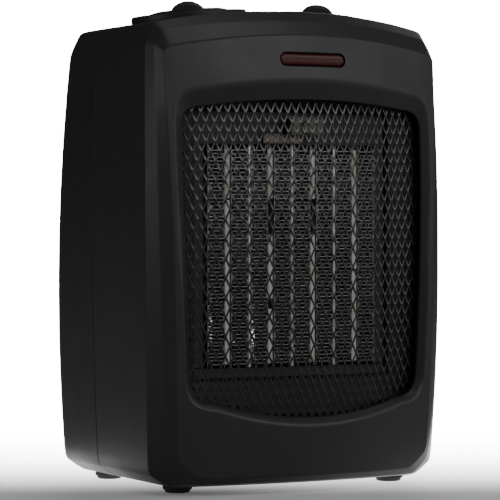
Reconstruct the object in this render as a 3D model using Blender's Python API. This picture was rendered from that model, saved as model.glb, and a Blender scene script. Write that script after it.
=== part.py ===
"""Small ceramic fan heater for a table or floor.

Frame: metres, +Z up, the heater blows towards -Y, the floor is Z = 0 and the
origin is on the floor under the middle of the housing.
"""
import math

import bmesh
import bpy
from mathutils import Matrix
from mathutils import Vector

MM = 0.001
GAP = 0.3                 # clearance between neighbouring pieces, mm

# Housing, all in millimetres
BODY_HALF = 84.4          # half width at the widest height
BODY_PINCH = 2.9          # how much narrower each side is at top and bottom
BODY_WAIST_Z = 120.0      # height of the widest place
BODY_FLOOR = 3.5          # underside of the housing
ARCH_TOP = 240.2          # crown of the arched top
ARCH_DROP = 6.9           # fall of the arch at its ends
WALL = 2.2                # shell thickness
SEAM_Y = 16.6             # joint between the front and rear shells
FACE_Y = -68.0            # foremost point of the bezel
FACE_BOW_Z = 5.4          # bezel falls back this much towards top and bottom
FACE_BOW_X = 11.5         # and this much towards its sides
REAR_Y = 67.6             # rearmost point of the back
REAR_BOW_Z = 6.3
REAR_BOW_X = 3.0
RECESS = 4.0              # depth of the frame round the air outlet

SHIFT_Y = -1.1445         # puts the origin under the middle of the bounding box

# Heater block
BLOCK_HALF = 48.6
BLOCK_LOW = 61.3
BLOCK_HIGH = 173.3
BLOCK_FRONT = -41.0
BLOCK_BACK = -27.0
MODULE = 24.4
TUBE_W = 3.0
STRIP_W = 0.8
FOLD_PITCH = 14.0
FIN_SHEET = 0.6           # half thickness of the folded sheet along X

# Duct
DUCT_HALF = 55.0
DUCT_LOW = 56.0
DUCT_HIGH = 190.0
DUCT_WALL = 1.6
DUCT_BACK = -6.0

# Fan
FAN_Z = 117.5
FAN_Y = 6.0
FAN_RADIUS = 46.0
HUB_RADIUS = 15.0
BLADES = 7

# Controls
KNOB_X = 37.6
KNOB_Y = 0.5
DIAL_RADIUS = 29.5
DIAL_THICK = 2.0
KNOB_RADIUS = 20.5
REST_TURN = -30.0         # knobs rest pointing to the front left
SHAFT_RADIUS = 3.0

# Indicator
LAMP_Z = 215.2
LENS_HALF = 18.2
LENS_HIGH = 5.6

# Feet and screws
FOOT_RADIUS = 7.4
FEET = {"left_front": (-61.2, -33.5), "right_front": (61.2, -33.5),
        "left_rear": (-62.0, 45.0), "right_rear": (62.0, 45.0)}
POST_X = 73.0
POST_LOW = 28.0
POST_HIGH = 208.0

# Cord inlet
GLAND_X = -50.0
GLAND_Z = 24.0
GLAND_RADIUS = 6.0


def material(name, colour, rough, metal=0.0):
    """One Principled material per piece."""
    mat = bpy.data.materials.new(name)
    mat.use_nodes = True
    shader = mat.node_tree.nodes["Principled BSDF"]
    shader.inputs["Base Color"].default_value = (*colour, 1.0)
    shader.inputs["Roughness"].default_value = rough
    shader.inputs["Metallic"].default_value = metal
    mat.diffuse_color = (*colour, 1.0)
    return mat


def new_object(name, points, faces, mat, origin=(0, 0, 0)):
    """Make a mesh object from millimetre points."""
    mesh = bpy.data.meshes.new(name)
    mesh.from_pydata([tuple(c * MM for c in p) for p in points], [], faces)
    body = bmesh.new()
    body.from_mesh(mesh)
    bmesh.ops.remove_doubles(body, verts=body.verts, dist=0.00001)
    bmesh.ops.recalc_face_normals(body, faces=body.faces)
    if body.calc_volume(signed=True) < 0:
        bmesh.ops.reverse_faces(body, faces=body.faces)
    body.to_mesh(mesh)
    body.free()
    obj = bpy.data.objects.new(name, mesh)
    bpy.context.scene.collection.objects.link(obj)
    obj.location = tuple(c * MM for c in origin)
    if mat is not None:
        mesh.materials.append(mat)
    return obj


def apply_boolean(target, tool, kind):
    """Cut or join the tool into the target, then drop the tool."""
    bpy.context.view_layer.update()
    step = target.modifiers.new("boolean", "BOOLEAN")
    step.operation = kind
    step.solver = "EXACT"
    step.object = tool
    graph = bpy.context.evaluated_depsgraph_get()
    result = bpy.data.meshes.new_from_object(target.evaluated_get(graph))
    target.modifiers.clear()
    old = target.data
    target.data = result
    result.name = target.name
    bpy.data.meshes.remove(old)
    mesh = tool.data
    bpy.data.objects.remove(tool)
    bpy.data.meshes.remove(mesh)
    body = bmesh.new()
    body.from_mesh(target.data)
    bmesh.ops.remove_doubles(body, verts=body.verts, dist=0.00001)
    bmesh.ops.dissolve_degenerate(body, edges=body.edges, dist=0.00001)
    body.to_mesh(target.data)
    body.free()


def cut(target, tool):
    apply_boolean(target, tool, "DIFFERENCE")


def join(target, tool):
    apply_boolean(target, tool, "UNION")


def smooth(obj, degrees=30.0):
    """Shade the round faces smooth and keep the real edges sharp."""
    obj.data.shade_smooth()
    obj.data.set_sharp_from_angle(angle=math.radians(degrees))


def box(name, low, high, mat=None):
    """A block between two corners."""
    (x0, y0, z0), (x1, y1, z1) = low, high
    points = [(x, y, z) for z in (z0, z1) for y in (y0, y1) for x in (x0, x1)]
    faces = [(0, 2, 3, 1), (4, 5, 7, 6), (0, 1, 5, 4), (2, 6, 7, 3), (0, 4, 6, 2), (1, 3, 7, 5)]
    return new_object(name, points, faces, mat)


def lathe(name, profile, mat=None, axis="Z", centre=(0, 0, 0), sides=32, origin=(0, 0, 0)):
    """Turn a closed (radius, height) profile round an axis; radius 0 ends close it."""
    points = []
    rows = []
    for radius, height in profile:
        row = []
        count = 1 if radius < 1e-6 else sides
        for k in range(count):
            turn = 2 * math.pi * k / sides
            a = radius * math.cos(turn)
            b = radius * math.sin(turn)
            local = {"Z": (a, b, height), "Y": (a, height, b), "X": (height, a, b)}[axis]
            row.append(len(points))
            points.append(tuple(l + c for l, c in zip(local, centre)))
        rows.append(row)
    faces = []
    for first, second in zip(rows, rows[1:]):
        for k in range(sides):
            quad = [first[k % len(first)], first[(k + 1) % len(first)],
                    second[(k + 1) % len(second)], second[k % len(second)]]
            face = list(dict.fromkeys(quad))
            if len(face) > 2:
                faces.append(face)
    return new_object(name, points, faces, mat, origin)


def ring_lathe(name, profile, mat=None, axis="Z", centre=(0, 0, 0), sides=32):
    """Turn a profile whose end joins its start, for a piece with a hole."""
    return lathe(name, list(profile) + [profile[0]], mat, axis, centre, sides)


def rod(name, low, high, radius, mat=None, axis="Z", centre=(0, 0, 0), sides=24, origin=(0, 0, 0)):
    profile = [(0, low), (radius, low), (radius, high), (0, high)]
    return lathe(name, profile, mat, axis, centre, sides, origin)


def bridge(name, rings, mat, tube):
    """Skin a stack of equal rings; a tube joins its last ring to its first."""
    count = len(rings[0])
    points = [p for ring in rings for p in ring]
    faces = []
    stacks = len(rings) if tube else len(rings) - 1
    for r in range(stacks):
        a = r * count
        b = ((r + 1) % len(rings)) * count
        for k in range(count):
            n = (k + 1) % count
            faces.append((a + k, a + n, b + n, b + k))
    if not tube:
        faces.append(tuple(range(count)))
        last = (len(rings) - 1) * count
        faces.append(tuple(last + k for k in reversed(range(count))))
    return new_object(name, points, faces, mat)


def side_x(z):
    return BODY_HALF - BODY_PINCH * ((z - BODY_WAIST_Z) / 110.0) ** 2


def top_z(x):
    return ARCH_TOP - ARCH_DROP * (abs(x) / 76.0) ** 2.2


def face_y(x, z):
    return FACE_Y + FACE_BOW_Z * ((z - 108.0) / 110.0) ** 2 + FACE_BOW_X * (x / 76.0) ** 2


def rear_y(x, z):
    return REAR_Y - REAR_BOW_Z * ((z - 80.0) / 110.0) ** 2 - REAR_BOW_X * (x / 82.0) ** 2


def shoulder_y(x, z):
    """Where the sides and top end and the bezel edge begins."""
    return -45.6 + 6.0 * ((z - 100.0) / 115.0) ** 2 - 9.0 * (1.0 - (x / 82.0) ** 2)


def crease_y(x, z):
    """Line between the two bands of the bezel edge."""
    return -52.3 + 7.0 * ((z - 95.0) / 125.0) ** 2 - 10.5 * (1.0 - (x / 80.0) ** 2)


def outline(side, low, high, x_low, bottom, x_top, top, soft):
    """Closed outline of the housing seen from the front, as (x, z) pairs.

    side, bottom and top give the edges; low and high are the heights where the
    corners begin on the sides, x_low and x_top where they end below and above.
    """
    half = []
    for k in range(6):
        x = x_low * k / 6.0
        half.append((x, bottom(x)))

    def corner(start, end, sharp):
        middle = ((start[0] + end[0]) / 2, (start[1] + end[1]) / 2)
        pull = tuple(m + soft * (s - m) for m, s in zip(middle, sharp))
        for k in range(4):
            t = k / 4.0
            half.append(tuple(a * (1 - t) ** 2 + 2 * p * t * (1 - t) + b * t * t
                              for a, p, b in zip(start, pull, end)))

    corner((x_low, bottom(x_low)), (side(low), low), (side(low), bottom(x_low)))
    for k in range(10):
        z = low + (high - low) * k / 10.0
        half.append((side(z), z))
    corner((side(high), high), (x_top, top(x_top)), (side(high), top(x_top)))
    for k in range(9):
        x = x_top * (1 - k / 8.0)
        half.append((x, top(x)))
    other = [(-x, z) for x, z in reversed(half[1:-1])]
    return half + other


def body_outline(inset=0.0):
    """The housing outline, moved inwards by inset."""
    return outline(lambda z: side_x(z) - inset, 11.0 + 0.4 * inset, 221.0 - 0.4 * inset,
                   70.0 - 0.6 * inset, lambda x: BODY_FLOOR + inset,
                   76.5 - 0.6 * inset, lambda x: top_z(x) - inset, 0.25)


def crease_outline(inset=0.0):
    def side(z):
        return side_x(z) - 2.2 - 4.8 * (219.0 - z) / 204.0 - inset
    return outline(side, 14.0, 220.0, 64.0 - inset, lambda x: 5.2 + inset,
                   74.6 - inset, lambda x: top_z(x) - 5.4 - inset, 0.2)


def face_outline(inset=0.0):
    def side(z):
        return 77.6 - 6.0 * (219.0 - z) / 199.0 - inset
    return outline(side, 18.0, 217.5, 59.5 - inset, lambda x: 8.4 + inset,
                   73.8 - inset, lambda x: 227.6 - 7.4 * (abs(x) / 76.0) ** 2 - inset, 0.2)


def recess_outline(grow=0.0):
    def side(z):
        return 72.8 - 5.6 * max(0.0, (160.0 - z) / 120.0) ** 1.2 + grow
    return outline(side, 57.5, 184.0, 53.0, lambda x: 34.1 + 10.0 * (x / 56.0) ** 2 - grow,
                   60.0, lambda x: 204.6 - 5.2 * (abs(x) / 60.0) ** 2 + grow, 1.0)


def outlet_outline(grow=0.0):
    def side(z):
        return 68.1 - 4.3 * max(0.0, (160.0 - z) / 120.0) ** 1.2 + grow
    return outline(side, 58.5, 182.0, 52.0, lambda x: 37.4 + 9.5 * (x / 56.0) ** 2 - grow,
                   58.0, lambda x: 195.2 - 4.4 * (abs(x) / 60.0) ** 2 + grow, 1.0)


def lay(points, depth):
    """Turn an (x, z) outline into 3D points at a depth or on a depth function."""
    if callable(depth):
        return [(x, depth(x, z), z) for x, z in points]
    return [(x, depth, z) for x, z in points]


def front_housing():
    """Front shell: sides, top, bezel and the frame round the air outlet."""
    seam = SEAM_Y - GAP / 2
    rings = [
        lay(body_outline(), seam),
        lay(body_outline(), shoulder_y),
        lay(crease_outline(), crease_y),
        lay(face_outline(), face_y),
        lay(recess_outline(), face_y),
        lay(outlet_outline(), lambda x, z: face_y(x, z) + RECESS),
        lay(outlet_outline(0.4), lambda x, z: face_y(x, z) + RECESS + WALL),
        lay(recess_outline(1.8), lambda x, z: face_y(x, z) + WALL + 0.6),
        lay(face_outline(1.8), lambda x, z: face_y(x, z) + WALL + 0.6),
        lay(crease_outline(WALL), lambda x, z: crease_y(x, z) + WALL),
        lay(body_outline(WALL), lambda x, z: shoulder_y(x, z) + 1.0),
        lay(body_outline(WALL), seam),
    ]
    shell = bridge("front_housing", rings, material("front_housing", (0.035, 0.036, 0.035), 0.42), True)
    face = face_y(0, LAMP_Z)
    slot = lathe("slot", [(0, -8), (3.7, -8), (3.7, 8), (0, 8)], None, "Y",
                 (-15.0, face, LAMP_Z), 20)
    join(slot, lathe("end", [(0, -8), (3.7, -8), (3.7, 8), (0, 8)], None, "Y",
                     (15.0, face, LAMP_Z), 20))
    join(slot, box("middle", (-15.0, face - 8, LAMP_Z - 3.7), (15.0, face + 8, LAMP_Z + 3.7)))
    cut(shell, slot)
    for x in (-KNOB_X, KNOB_X):
        cut(shell, rod("shaft_hole", 225, 250, 4.2, None, "Z", (x, KNOB_Y, 0), 20))
    for x in (-POST_X, POST_X):
        for z in (POST_LOW, POST_HIGH):
            reach = math.copysign(side_x(z) - 1.0, x)
            low = (min(x, reach), -24.0, z - 3.0)
            high = (max(x, reach), 12.0, z + 3.0)
            join(shell, box("rib", low, high))
            end = rear_y(x, z) - WALL - 2.2
            join(shell, rod("post", -24.0, end, 4.0, None, "Y", (x, 0, z), 16))
            cut(shell, rod("pilot", end - 16.0, end + 1.0, 1.9, None, "Y", (x, 0, z), 12))
    smooth(shell, 24.0)
    return shell


def rear_outline(grow=0.0):
    """Rounded rectangle of the air intake in the back."""
    return outline(lambda z: 50.0 + grow, 53.0, 175.0, 49.0, lambda x: 52.0 - grow,
                   49.0, lambda x: 176.0 + grow, 1.0)


def rear_housing():
    """Rear shell with the air intake, screw seats and the cord inlet."""
    seam = SEAM_Y + GAP / 2
    rings = [
        lay(body_outline(), seam),
        lay(body_outline(), lambda x, z: rear_y(x, z) - 4.5),
        lay(body_outline(1.0), lambda x, z: rear_y(x, z) - 1.4),
        lay(body_outline(3.6), rear_y),
        lay(rear_outline(), rear_y),
        lay(rear_outline(), lambda x, z: rear_y(x, z) - WALL),
        lay(body_outline(4.6), lambda x, z: rear_y(x, z) - WALL),
        lay(body_outline(WALL), lambda x, z: rear_y(x, z) - 4.8),
        lay(body_outline(WALL), seam),
    ]
    shell = bridge("rear_housing", rings, material("rear_housing", (0.033, 0.034, 0.034), 0.46), True)
    for x in (-POST_X, POST_X):
        for z in (POST_LOW, POST_HIGH):
            face = rear_y(x, z)
            cut(shell, rod("hole", face - 8.0, face + 4.0, 2.2, None, "Y", (x, 0, z), 16))
            cut(shell, rod("seat", face - 0.9, face + 4.0, 4.4, None, "Y", (x, 0, z), 20))
    face = rear_y(GLAND_X, GLAND_Z)
    cut(shell, rod("inlet", face - 8.0, face + 6.0, GLAND_RADIUS + GAP, None, "Y",
                   (GLAND_X, 0, GLAND_Z), 24))
    smooth(shell, 24.0)
    return shell


def pierced_plate(name, xs, zs, solid, front, back, mat):
    """A plate on a grid of cells with some cells left open."""
    points = []
    for depth in (front, back):
        points += [(x, depth(x, z), z) for z in zs for x in xs]
    wide = len(xs)
    layer = wide * len(zs)
    faces = []

    def filled(i, j):
        return 0 <= i < wide - 1 and 0 <= j < len(zs) - 1 and solid(i, j)

    for j in range(len(zs) - 1):
        for i in range(wide - 1):
            if not filled(i, j):
                continue
            a = j * wide + i
            b, c, d = a + 1, a + wide + 1, a + wide
            faces.append((a, b, c, d))
            faces.append((a + layer, d + layer, c + layer, b + layer))
            for (s, t), (p, q) in (((0, -1), (a, b)), ((1, 0), (b, c)), ((0, 1), (c, d)), ((-1, 0), (d, a))):
                if not filled(i + s, j + t):
                    faces.append((p, p + layer, q + layer, q))
    return new_object(name, points, faces, mat)


def intake_grille():
    """Slotted cover of the air intake, sunk into the back."""
    xs = [-49.7, -45.0, -16.5, -12.5, 12.5, 16.5, 45.0, 49.7]
    low, high, bars = 57.0, 171.0, 10
    zs = [low - 4.5, low]
    pitch = (high - low) / bars
    for k in range(bars):
        zs += [low + pitch * (k + 0.55), low + pitch * (k + 1)]
    zs.append(high + 4.5)

    def solid(i, j):
        return i in (0, 2, 4, 6) or j == 0 or j == len(zs) - 2 or j % 2 == 0
    return pierced_plate("intake_grille", xs, zs, solid, lambda x, z: rear_y(x, z) - 0.4,
                         lambda x, z: rear_y(x, z) - 2.4, material("intake_grille", (0.03, 0.031, 0.031), 0.5))


def outlet_grille():
    """Bowed expanded metal sheet behind the outlet, drawn with a wide mesh."""
    half, low, high = 73.0, 30.0, 203.5
    wide, tall = 6, 4
    dx = 2 * half / wide
    dz = (high - low) / tall
    body = bmesh.new()
    lattice = {}

    def vert(i, j):
        if (i, j) not in lattice:
            x = -half + dx * i / 2
            z = low + dz * j / 2
            lattice[(i, j)] = body.verts.new((x * MM, 0, z * MM))
        return lattice[(i, j)]

    for i in range(2 * wide + 1):
        for j in range(2 * tall + 1):
            if (i + j) % 2 == 0:
                continue
            around = [(i - 1, j), (i, j - 1), (i + 1, j), (i, j + 1)]
            inside = [(a, b) for a, b in around if 0 <= a <= 2 * wide and 0 <= b <= 2 * tall]
            body.faces.new([vert(a, b) for a, b in inside])
    body.normal_update()
    cells = list(body.faces)
    bmesh.ops.inset_individual(body, faces=cells, thickness=1.3 * MM)
    bmesh.ops.delete(body, geom=cells, context="FACES")
    mesh = bpy.data.meshes.new("outlet_grille")
    body.to_mesh(mesh)
    body.free()
    sheet = [v.co.copy() / MM for v in mesh.vertices]
    count = len(sheet)
    thick = 1.2
    points = []
    for shift in (0.0, thick):
        points += [(p.x, face_y(p.x, p.z) + RECESS + WALL + 1.2 + shift, p.z) for p in sheet]
    faces = []
    edges = {}
    for poly in mesh.polygons:
        loop = list(poly.vertices)
        faces.append(tuple(loop))
        faces.append(tuple(count + v for v in reversed(loop)))
        for a, b in zip(loop, loop[1:] + loop[:1]):
            edges.setdefault(frozenset((a, b)), []).append((a, b))
    for uses in edges.values():
        if len(uses) == 1:
            a, b = uses[0]
            faces.append((a, count + a, count + b, b))
    bpy.data.meshes.remove(mesh)
    return new_object("outlet_grille", points, faces, material("outlet_grille", (0.02, 0.02, 0.02), 0.4, 0.6))


def outlet_duct():
    """Air duct: a wide mouth behind the outlet that narrows to the heater block."""
    def rect(half, low, high, depth):
        steps = 6
        pts = []
        for k in range(steps):
            pts.append((-half + 2 * half * k / steps, low))
        for k in range(steps):
            pts.append((half, low + (high - low) * k / steps))
        for k in range(steps):
            pts.append((half - 2 * half * k / steps, high))
        for k in range(steps):
            pts.append((-half, high - (high - low) * k / steps))
        return lay(pts, depth)

    def mouth(x, z):
        return face_y(x, z) + RECESS + WALL + 3.0

    wall = DUCT_WALL
    rings = [
        rect(74.0, 29.5, 204.5, mouth),
        rect(DUCT_HALF + 1.0, DUCT_LOW - 1.0, DUCT_HIGH + 1.0, -41.5),
        rect(DUCT_HALF, DUCT_LOW, DUCT_HIGH, -39.5),
        rect(DUCT_HALF, DUCT_LOW, DUCT_HIGH, DUCT_BACK),
        rect(DUCT_HALF + wall, DUCT_LOW - wall, DUCT_HIGH + wall, DUCT_BACK),
        rect(DUCT_HALF + wall, DUCT_LOW - wall, DUCT_HIGH + wall, -38.0),
        rect(DUCT_HALF + wall + 2.0, DUCT_LOW - wall - 2.0, DUCT_HIGH + wall + 2.0, -39.6),
        rect(74.0, 29.5, 204.5, lambda x, z: mouth(x, z) + wall + 0.6),
    ]
    duct = bridge("outlet_duct", rings, material("outlet_duct", (0.06, 0.06, 0.06), 0.5), True)
    cut(duct, rod("lead_hole", DUCT_HIGH - 4.0, DUCT_HIGH + 6.0, 3.0, None, "Z", (-18.0, -17.5, 0), 12))
    smooth(duct, 20.0)
    return duct


def heater_block():
    """Ceramic tubes, folded fins and contact strips stacked side by side."""
    fin_mat = (0.42, 0.42, 0.41)
    for m in range(4):
        centre = MODULE * (m - 1.5)
        low = (centre - TUBE_W / 2, BLOCK_FRONT + 0.6, BLOCK_LOW + 2.0)
        high = (centre + TUBE_W / 2, BLOCK_BACK - 0.6, BLOCK_HIGH - 2.0)
        box(f"ptc_tube_{m + 1}", low, high, material(f"ptc_tube_{m + 1}", (0.72, 0.70, 0.64), 0.55))
        for side in (0, 1):
            inner = TUBE_W / 2 + GAP
            outer = MODULE / 2 - STRIP_W / 2 - GAP
            left = centre + inner if side else centre - outer
            right = centre + outer if side else centre - inner
            name = f"fin_column_{2 * m + side + 1}"
            folded_fin(name, left, right, material(name, fin_mat, 0.35, 1.0))
    for s in range(3):
        x = MODULE * (s - 1)
        name = f"contact_strip_{s + 1}"
        strip = box(name, (x - STRIP_W / 2, BLOCK_FRONT + 0.2, BLOCK_LOW + 0.4),
                    (x + STRIP_W / 2, BLOCK_BACK - 0.2, BLOCK_HIGH - 0.4),
                    material(name, (0.6, 0.58, 0.52), 0.3, 1.0))
        strip.data.name = name


def folded_fin(name, left, right, mat):
    """Thin sheet folded to and fro between two neighbours of the stack."""
    height = BLOCK_HIGH - BLOCK_LOW - 2.0
    folds = 2 * int(round(height / FOLD_PITCH))
    rings = []
    for k in range(folds + 1):
        x = left + FIN_SHEET if k % 2 == 0 else right - FIN_SHEET
        z = BLOCK_LOW + 1.0 + height * k / folds
        rings.append([(x - FIN_SHEET, BLOCK_FRONT, z), (x + FIN_SHEET, BLOCK_FRONT, z),
                      (x + FIN_SHEET, BLOCK_BACK, z), (x - FIN_SHEET, BLOCK_BACK, z)])
    return bridge(name, rings, mat, False)


def heater_holder():
    """Frames above, below and beside the block that hold it in the duct."""
    plastic = (0.035, 0.034, 0.032)
    reach = DUCT_HALF - GAP
    for name, low, high in (("heater_frame_bottom", DUCT_LOW + GAP, BLOCK_LOW + 0.1),
                            ("heater_frame_top", BLOCK_HIGH - 0.1, DUCT_HIGH - GAP)):
        frame = box(name, (-reach, -38.5, low), (reach, -24.0, high), material(name, plastic, 0.6))
        groove = box("groove", (-BLOCK_HALF - 0.4, BLOCK_FRONT - 0.5, BLOCK_LOW - 0.2),
                     (BLOCK_HALF + 0.4, BLOCK_BACK + 0.5, BLOCK_HIGH + 0.2))
        cut(frame, groove)
    for name, x0, x1 in (("side_rail_left", -reach, -BLOCK_HALF - 0.6),
                         ("side_rail_right", BLOCK_HALF + 0.6, reach)):
        box(name, (x0, -38.5, BLOCK_LOW + 0.6), (x1, -24.0, BLOCK_HIGH - 0.6),
            material(name, plastic, 0.6))


def thermal_cutout():
    """Bimetal overheat cut-out on its bracket above the block."""
    bracket = box("cutout_bracket", (-16.5, -40.6, BLOCK_HIGH + 0.5), (6.0, -39.0, BLOCK_HIGH + 5.6),
                  material("cutout_bracket", (0.30, 0.24, 0.16), 0.4, 1.0))
    join(bracket, box("arm", (-3.0, -40.6, BLOCK_HIGH + 3.5), (16.0, -39.0, BLOCK_HIGH + 14.6)))
    body = box("thermal_cutout", (-3.6, -46.2, BLOCK_HIGH + 4.6), (15.6, -40.9, BLOCK_HIGH + 13.4),
               material("thermal_cutout", (0.55, 0.52, 0.46), 0.35, 1.0))
    join(body, rod("cap", -47.6, -46.0, 3.6, None, "Y", (6.0, 0, BLOCK_HIGH + 9.0), 20))
    smooth(body)


def fan():
    """Fan plate with its round hole, motor on a spider bracket and impeller."""
    reach = DUCT_HALF + DUCT_WALL + 6.0
    plate = box("fan_plate", (-reach, DUCT_BACK + GAP, DUCT_LOW - 7.0), (reach, DUCT_BACK + 2.5, DUCT_HIGH + 7.0),
                material("fan_plate", (0.05, 0.05, 0.05), 0.55))
    collar = rod("collar", DUCT_BACK + 1.0, FAN_Y + 12.0, FAN_RADIUS + 4.0, None, "Y", (0, 0, FAN_Z), 48)
    join(plate, collar)
    cut(plate, rod("eye", DUCT_BACK - 5.0, FAN_Y + 20.0, FAN_RADIUS + 2.0, None, "Y", (0, 0, FAN_Z), 48))
    smooth(plate)

    motor_mat = material("fan_motor", (0.45, 0.45, 0.44), 0.35, 1.0)
    motor = lathe("fan_motor", [(0, 19.0), (6.0, 19.0), (6.0, 21.0), (19.0, 21.0), (20.0, 22.0),
                                (20.0, 41.0), (18.0, 43.0), (7.0, 43.0), (7.0, 45.5), (0, 45.5)],
                  motor_mat, "Y", (0, 0, FAN_Z), 32)
    cut(motor, rod("bore", 10.0, 42.0, 1.9, None, "Y", (0, 0, FAN_Z), 16))
    smooth(motor)

    bracket_mat = material("motor_bracket", (0.25, 0.25, 0.25), 0.4, 1.0)
    bracket = lathe("motor_bracket", [(20.4, 24.0), (23.0, 24.0), (23.0, 29.0), (20.4, 29.0), (20.4, 24.0)],
                    bracket_mat, "Y", (0, 0, FAN_Z), 32)
    for k in range(3):
        turn = 2 * math.pi * k / 3 + math.pi / 2
        arm = box("arm", (21.0, 25.0, -4.0), (54.0, 27.5, 4.0))
        foot = box("foot", (50.5, FAN_Y + 2.0, -4.0), (54.0, 27.5, 4.0))
        for piece in (arm, foot):
            piece.data.transform(Matrix.Rotation(-turn, 4, "Y"))
            piece.data.transform(Matrix.Translation(Vector((0, 0, FAN_Z * MM))))
            join(bracket, piece)
    smooth(bracket)

    rotor = lathe("fan_impeller", [(0, -5.0), (HUB_RADIUS - 2.0, -5.0), (HUB_RADIUS, -3.0), (HUB_RADIUS, 9.0),
                                   (4.0, 9.0), (4.0, 11.0), (1.5, 11.0), (1.5, 33.0), (0, 33.0)],
                  material("fan_impeller", (0.07, 0.07, 0.07), 0.5), "Y", (0, 0, 0), 28,
                  (0, FAN_Y, FAN_Z))
    for k in range(BLADES):
        turn = 2 * math.pi * k / BLADES
        join(rotor, fan_blade(turn))
    smooth(rotor)


def fan_blade(turn):
    """One twisted blade in the impeller's own frame."""
    rings = []
    for radius, pitch, chord in ((HUB_RADIUS - 2.5, 46.0, 7.5), (24.0, 36.0, 10.0), (35.0, 30.0, 11.5),
                                 (FAN_RADIUS, 26.0, 11.0)):
        angle = math.radians(pitch)
        ring = []
        for along, side in ((-1, -0.5), (1, -0.5), (1, 0.5), (-1, 0.5)):
            across = along * chord * math.cos(angle) - side * 1.4 * math.sin(angle)
            depth = along * chord * math.sin(angle) * 0.62 + side * 1.4 * math.cos(angle)
            swing = across / radius * (0.72 if radius < 20 else 1.0)
            swing = max(-0.42, min(0.42, swing))
            ring.append((radius * math.cos(turn + swing), depth + 3.0, radius * math.sin(turn + swing)))
        rings.append(ring)
    blade = bridge("blade", rings, None, False)
    shift = Vector((0, FAN_Y * MM, FAN_Z * MM))
    blade.location = shift
    return blade


def control(side, name_body, name_dial, name_knob, body_colour):
    """Switch body under the top, dial plate and knob above it, on one tilted axis."""
    x = side * KNOB_X
    slope = math.atan(ARCH_DROP * 2.2 / 76.0 * (KNOB_X / 76.0) ** 1.2)
    seat = top_z(x)
    tilt = side * slope
    place = Matrix.Translation(Vector((x, KNOB_Y, seat)) * MM) @ Matrix.Rotation(tilt, 4, "Y")

    dial = lathe(name_dial, [(3.9, 0.45), (DIAL_RADIUS, 0.45), (DIAL_RADIUS, 1.9), (DIAL_RADIUS - 0.6, 2.45),
                             (3.9, 2.45), (3.9, 0.45)],
                 material(name_dial, (0.03, 0.03, 0.031), 0.4), "Z", (0, 0, 0), 36)
    dial.matrix_world = place
    smooth(dial)

    knob = lathe(name_knob, [(0, -9.0), (SHAFT_RADIUS, -9.0), (SHAFT_RADIUS, 2.75), (KNOB_RADIUS, 2.75),
                             (KNOB_RADIUS, 3.1), (KNOB_RADIUS - 4.0, 4.2), (0, 4.2)],
                 material(name_knob, (0.028, 0.028, 0.03), 0.38), "Z", (0, 0, 0), 32)
    arc = []
    for k in range(9):
        turn = math.pi * k / 8
        arc.append((-8.3 * math.cos(turn), 3.4 + 5.0 * math.sin(turn) ** 1.15))
    ends = []
    for y, shrink in ((-17.6, 0.42), (-16.0, 0.86), (-12.0, 1.0), (12.0, 1.0), (16.0, 0.86), (17.6, 0.42)):
        ends.append([(px * (0.55 + 0.45 * shrink), y, 3.4 + (pz - 3.4) * shrink) for px, pz in arc])
    grip = bridge("grip", ends, None, False)
    join(knob, grip)
    knob.data.transform(Matrix.Rotation(math.radians(REST_TURN), 4, "Z"))
    knob.matrix_world = place
    smooth(knob, 34.0)

    low = seat - 26.0
    high = seat - WALL - 1.9
    body = box(name_body, (x - 12.5, KNOB_Y - 12.0, low), (x + 12.5, KNOB_Y + 12.0, high),
               material(name_body, body_colour, 0.5))
    bore = rod("bore", -14.0, 8.0, 3.5, None, "Z", (0, 0, 0), 20)
    bore.matrix_world = place
    bore.data.transform(place)
    bore.matrix_world = Matrix.Identity(4)
    cut(body, bore)


def indicator():
    """Red lens in the bezel slot with the neon lamp and its holder behind."""
    face = face_y(0, LAMP_Z)
    half = LENS_HALF - LENS_HIGH / 2
    red = material("indicator_lens", (0.25, 0.004, 0.006), 0.12)
    lens = rod("indicator_lens", face + 0.9, face + 4.8, LENS_HIGH / 2, red, "Y", (-half, 0, LAMP_Z), 20)
    join(lens, rod("end", face + 0.9, face + 4.8, LENS_HIGH / 2, None, "Y", (half, 0, LAMP_Z), 20))
    join(lens, box("middle", (-half, face + 0.9, LAMP_Z - LENS_HIGH / 2),
                   (half, face + 4.8, LAMP_Z + LENS_HIGH / 2)))
    join(lens, box("flange", (-LENS_HALF - 4.0, face + 4.4, LAMP_Z - 5.4),
                   (LENS_HALF + 4.0, face + 5.4, LAMP_Z + 5.4)))
    smooth(lens)
    holder = box("lamp_holder", (-14.0, face + 6.0, LAMP_Z - 5.0), (14.0, face + 14.0, LAMP_Z + 5.0),
                 material("lamp_holder", (0.5, 0.49, 0.45), 0.6))
    cut(holder, rod("socket", -12.0, 20.0, 3.0, None, "X", (0, face + 10.0, LAMP_Z), 16))
    lamp = lathe("indicator_lamp", [(0, -11.5), (2.4, -11.5), (2.4, 10.0), (1.6, 13.0), (0, 14.2)],
                 material("indicator_lamp", (0.8, 0.35, 0.12), 0.1), "X", (0.0, face + 10.0, LAMP_Z), 16)
    smooth(lamp)


def feet():
    """Rubber feet pressed on to the underside."""
    for name, (x, y) in FEET.items():
        foot = lathe(f"foot_{name}", [(0, 0.0), (5.6, 0.0), (6.4, 0.5), (6.6, 1.6), (FOOT_RADIUS, 1.8),
                                      (FOOT_RADIUS, BODY_FLOOR - 0.2), (0, BODY_FLOOR - 0.2)],
                     material(f"foot_{name}", (0.02, 0.02, 0.02), 0.8), "Z", (x, y, 0), 28)
        smooth(foot)


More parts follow.
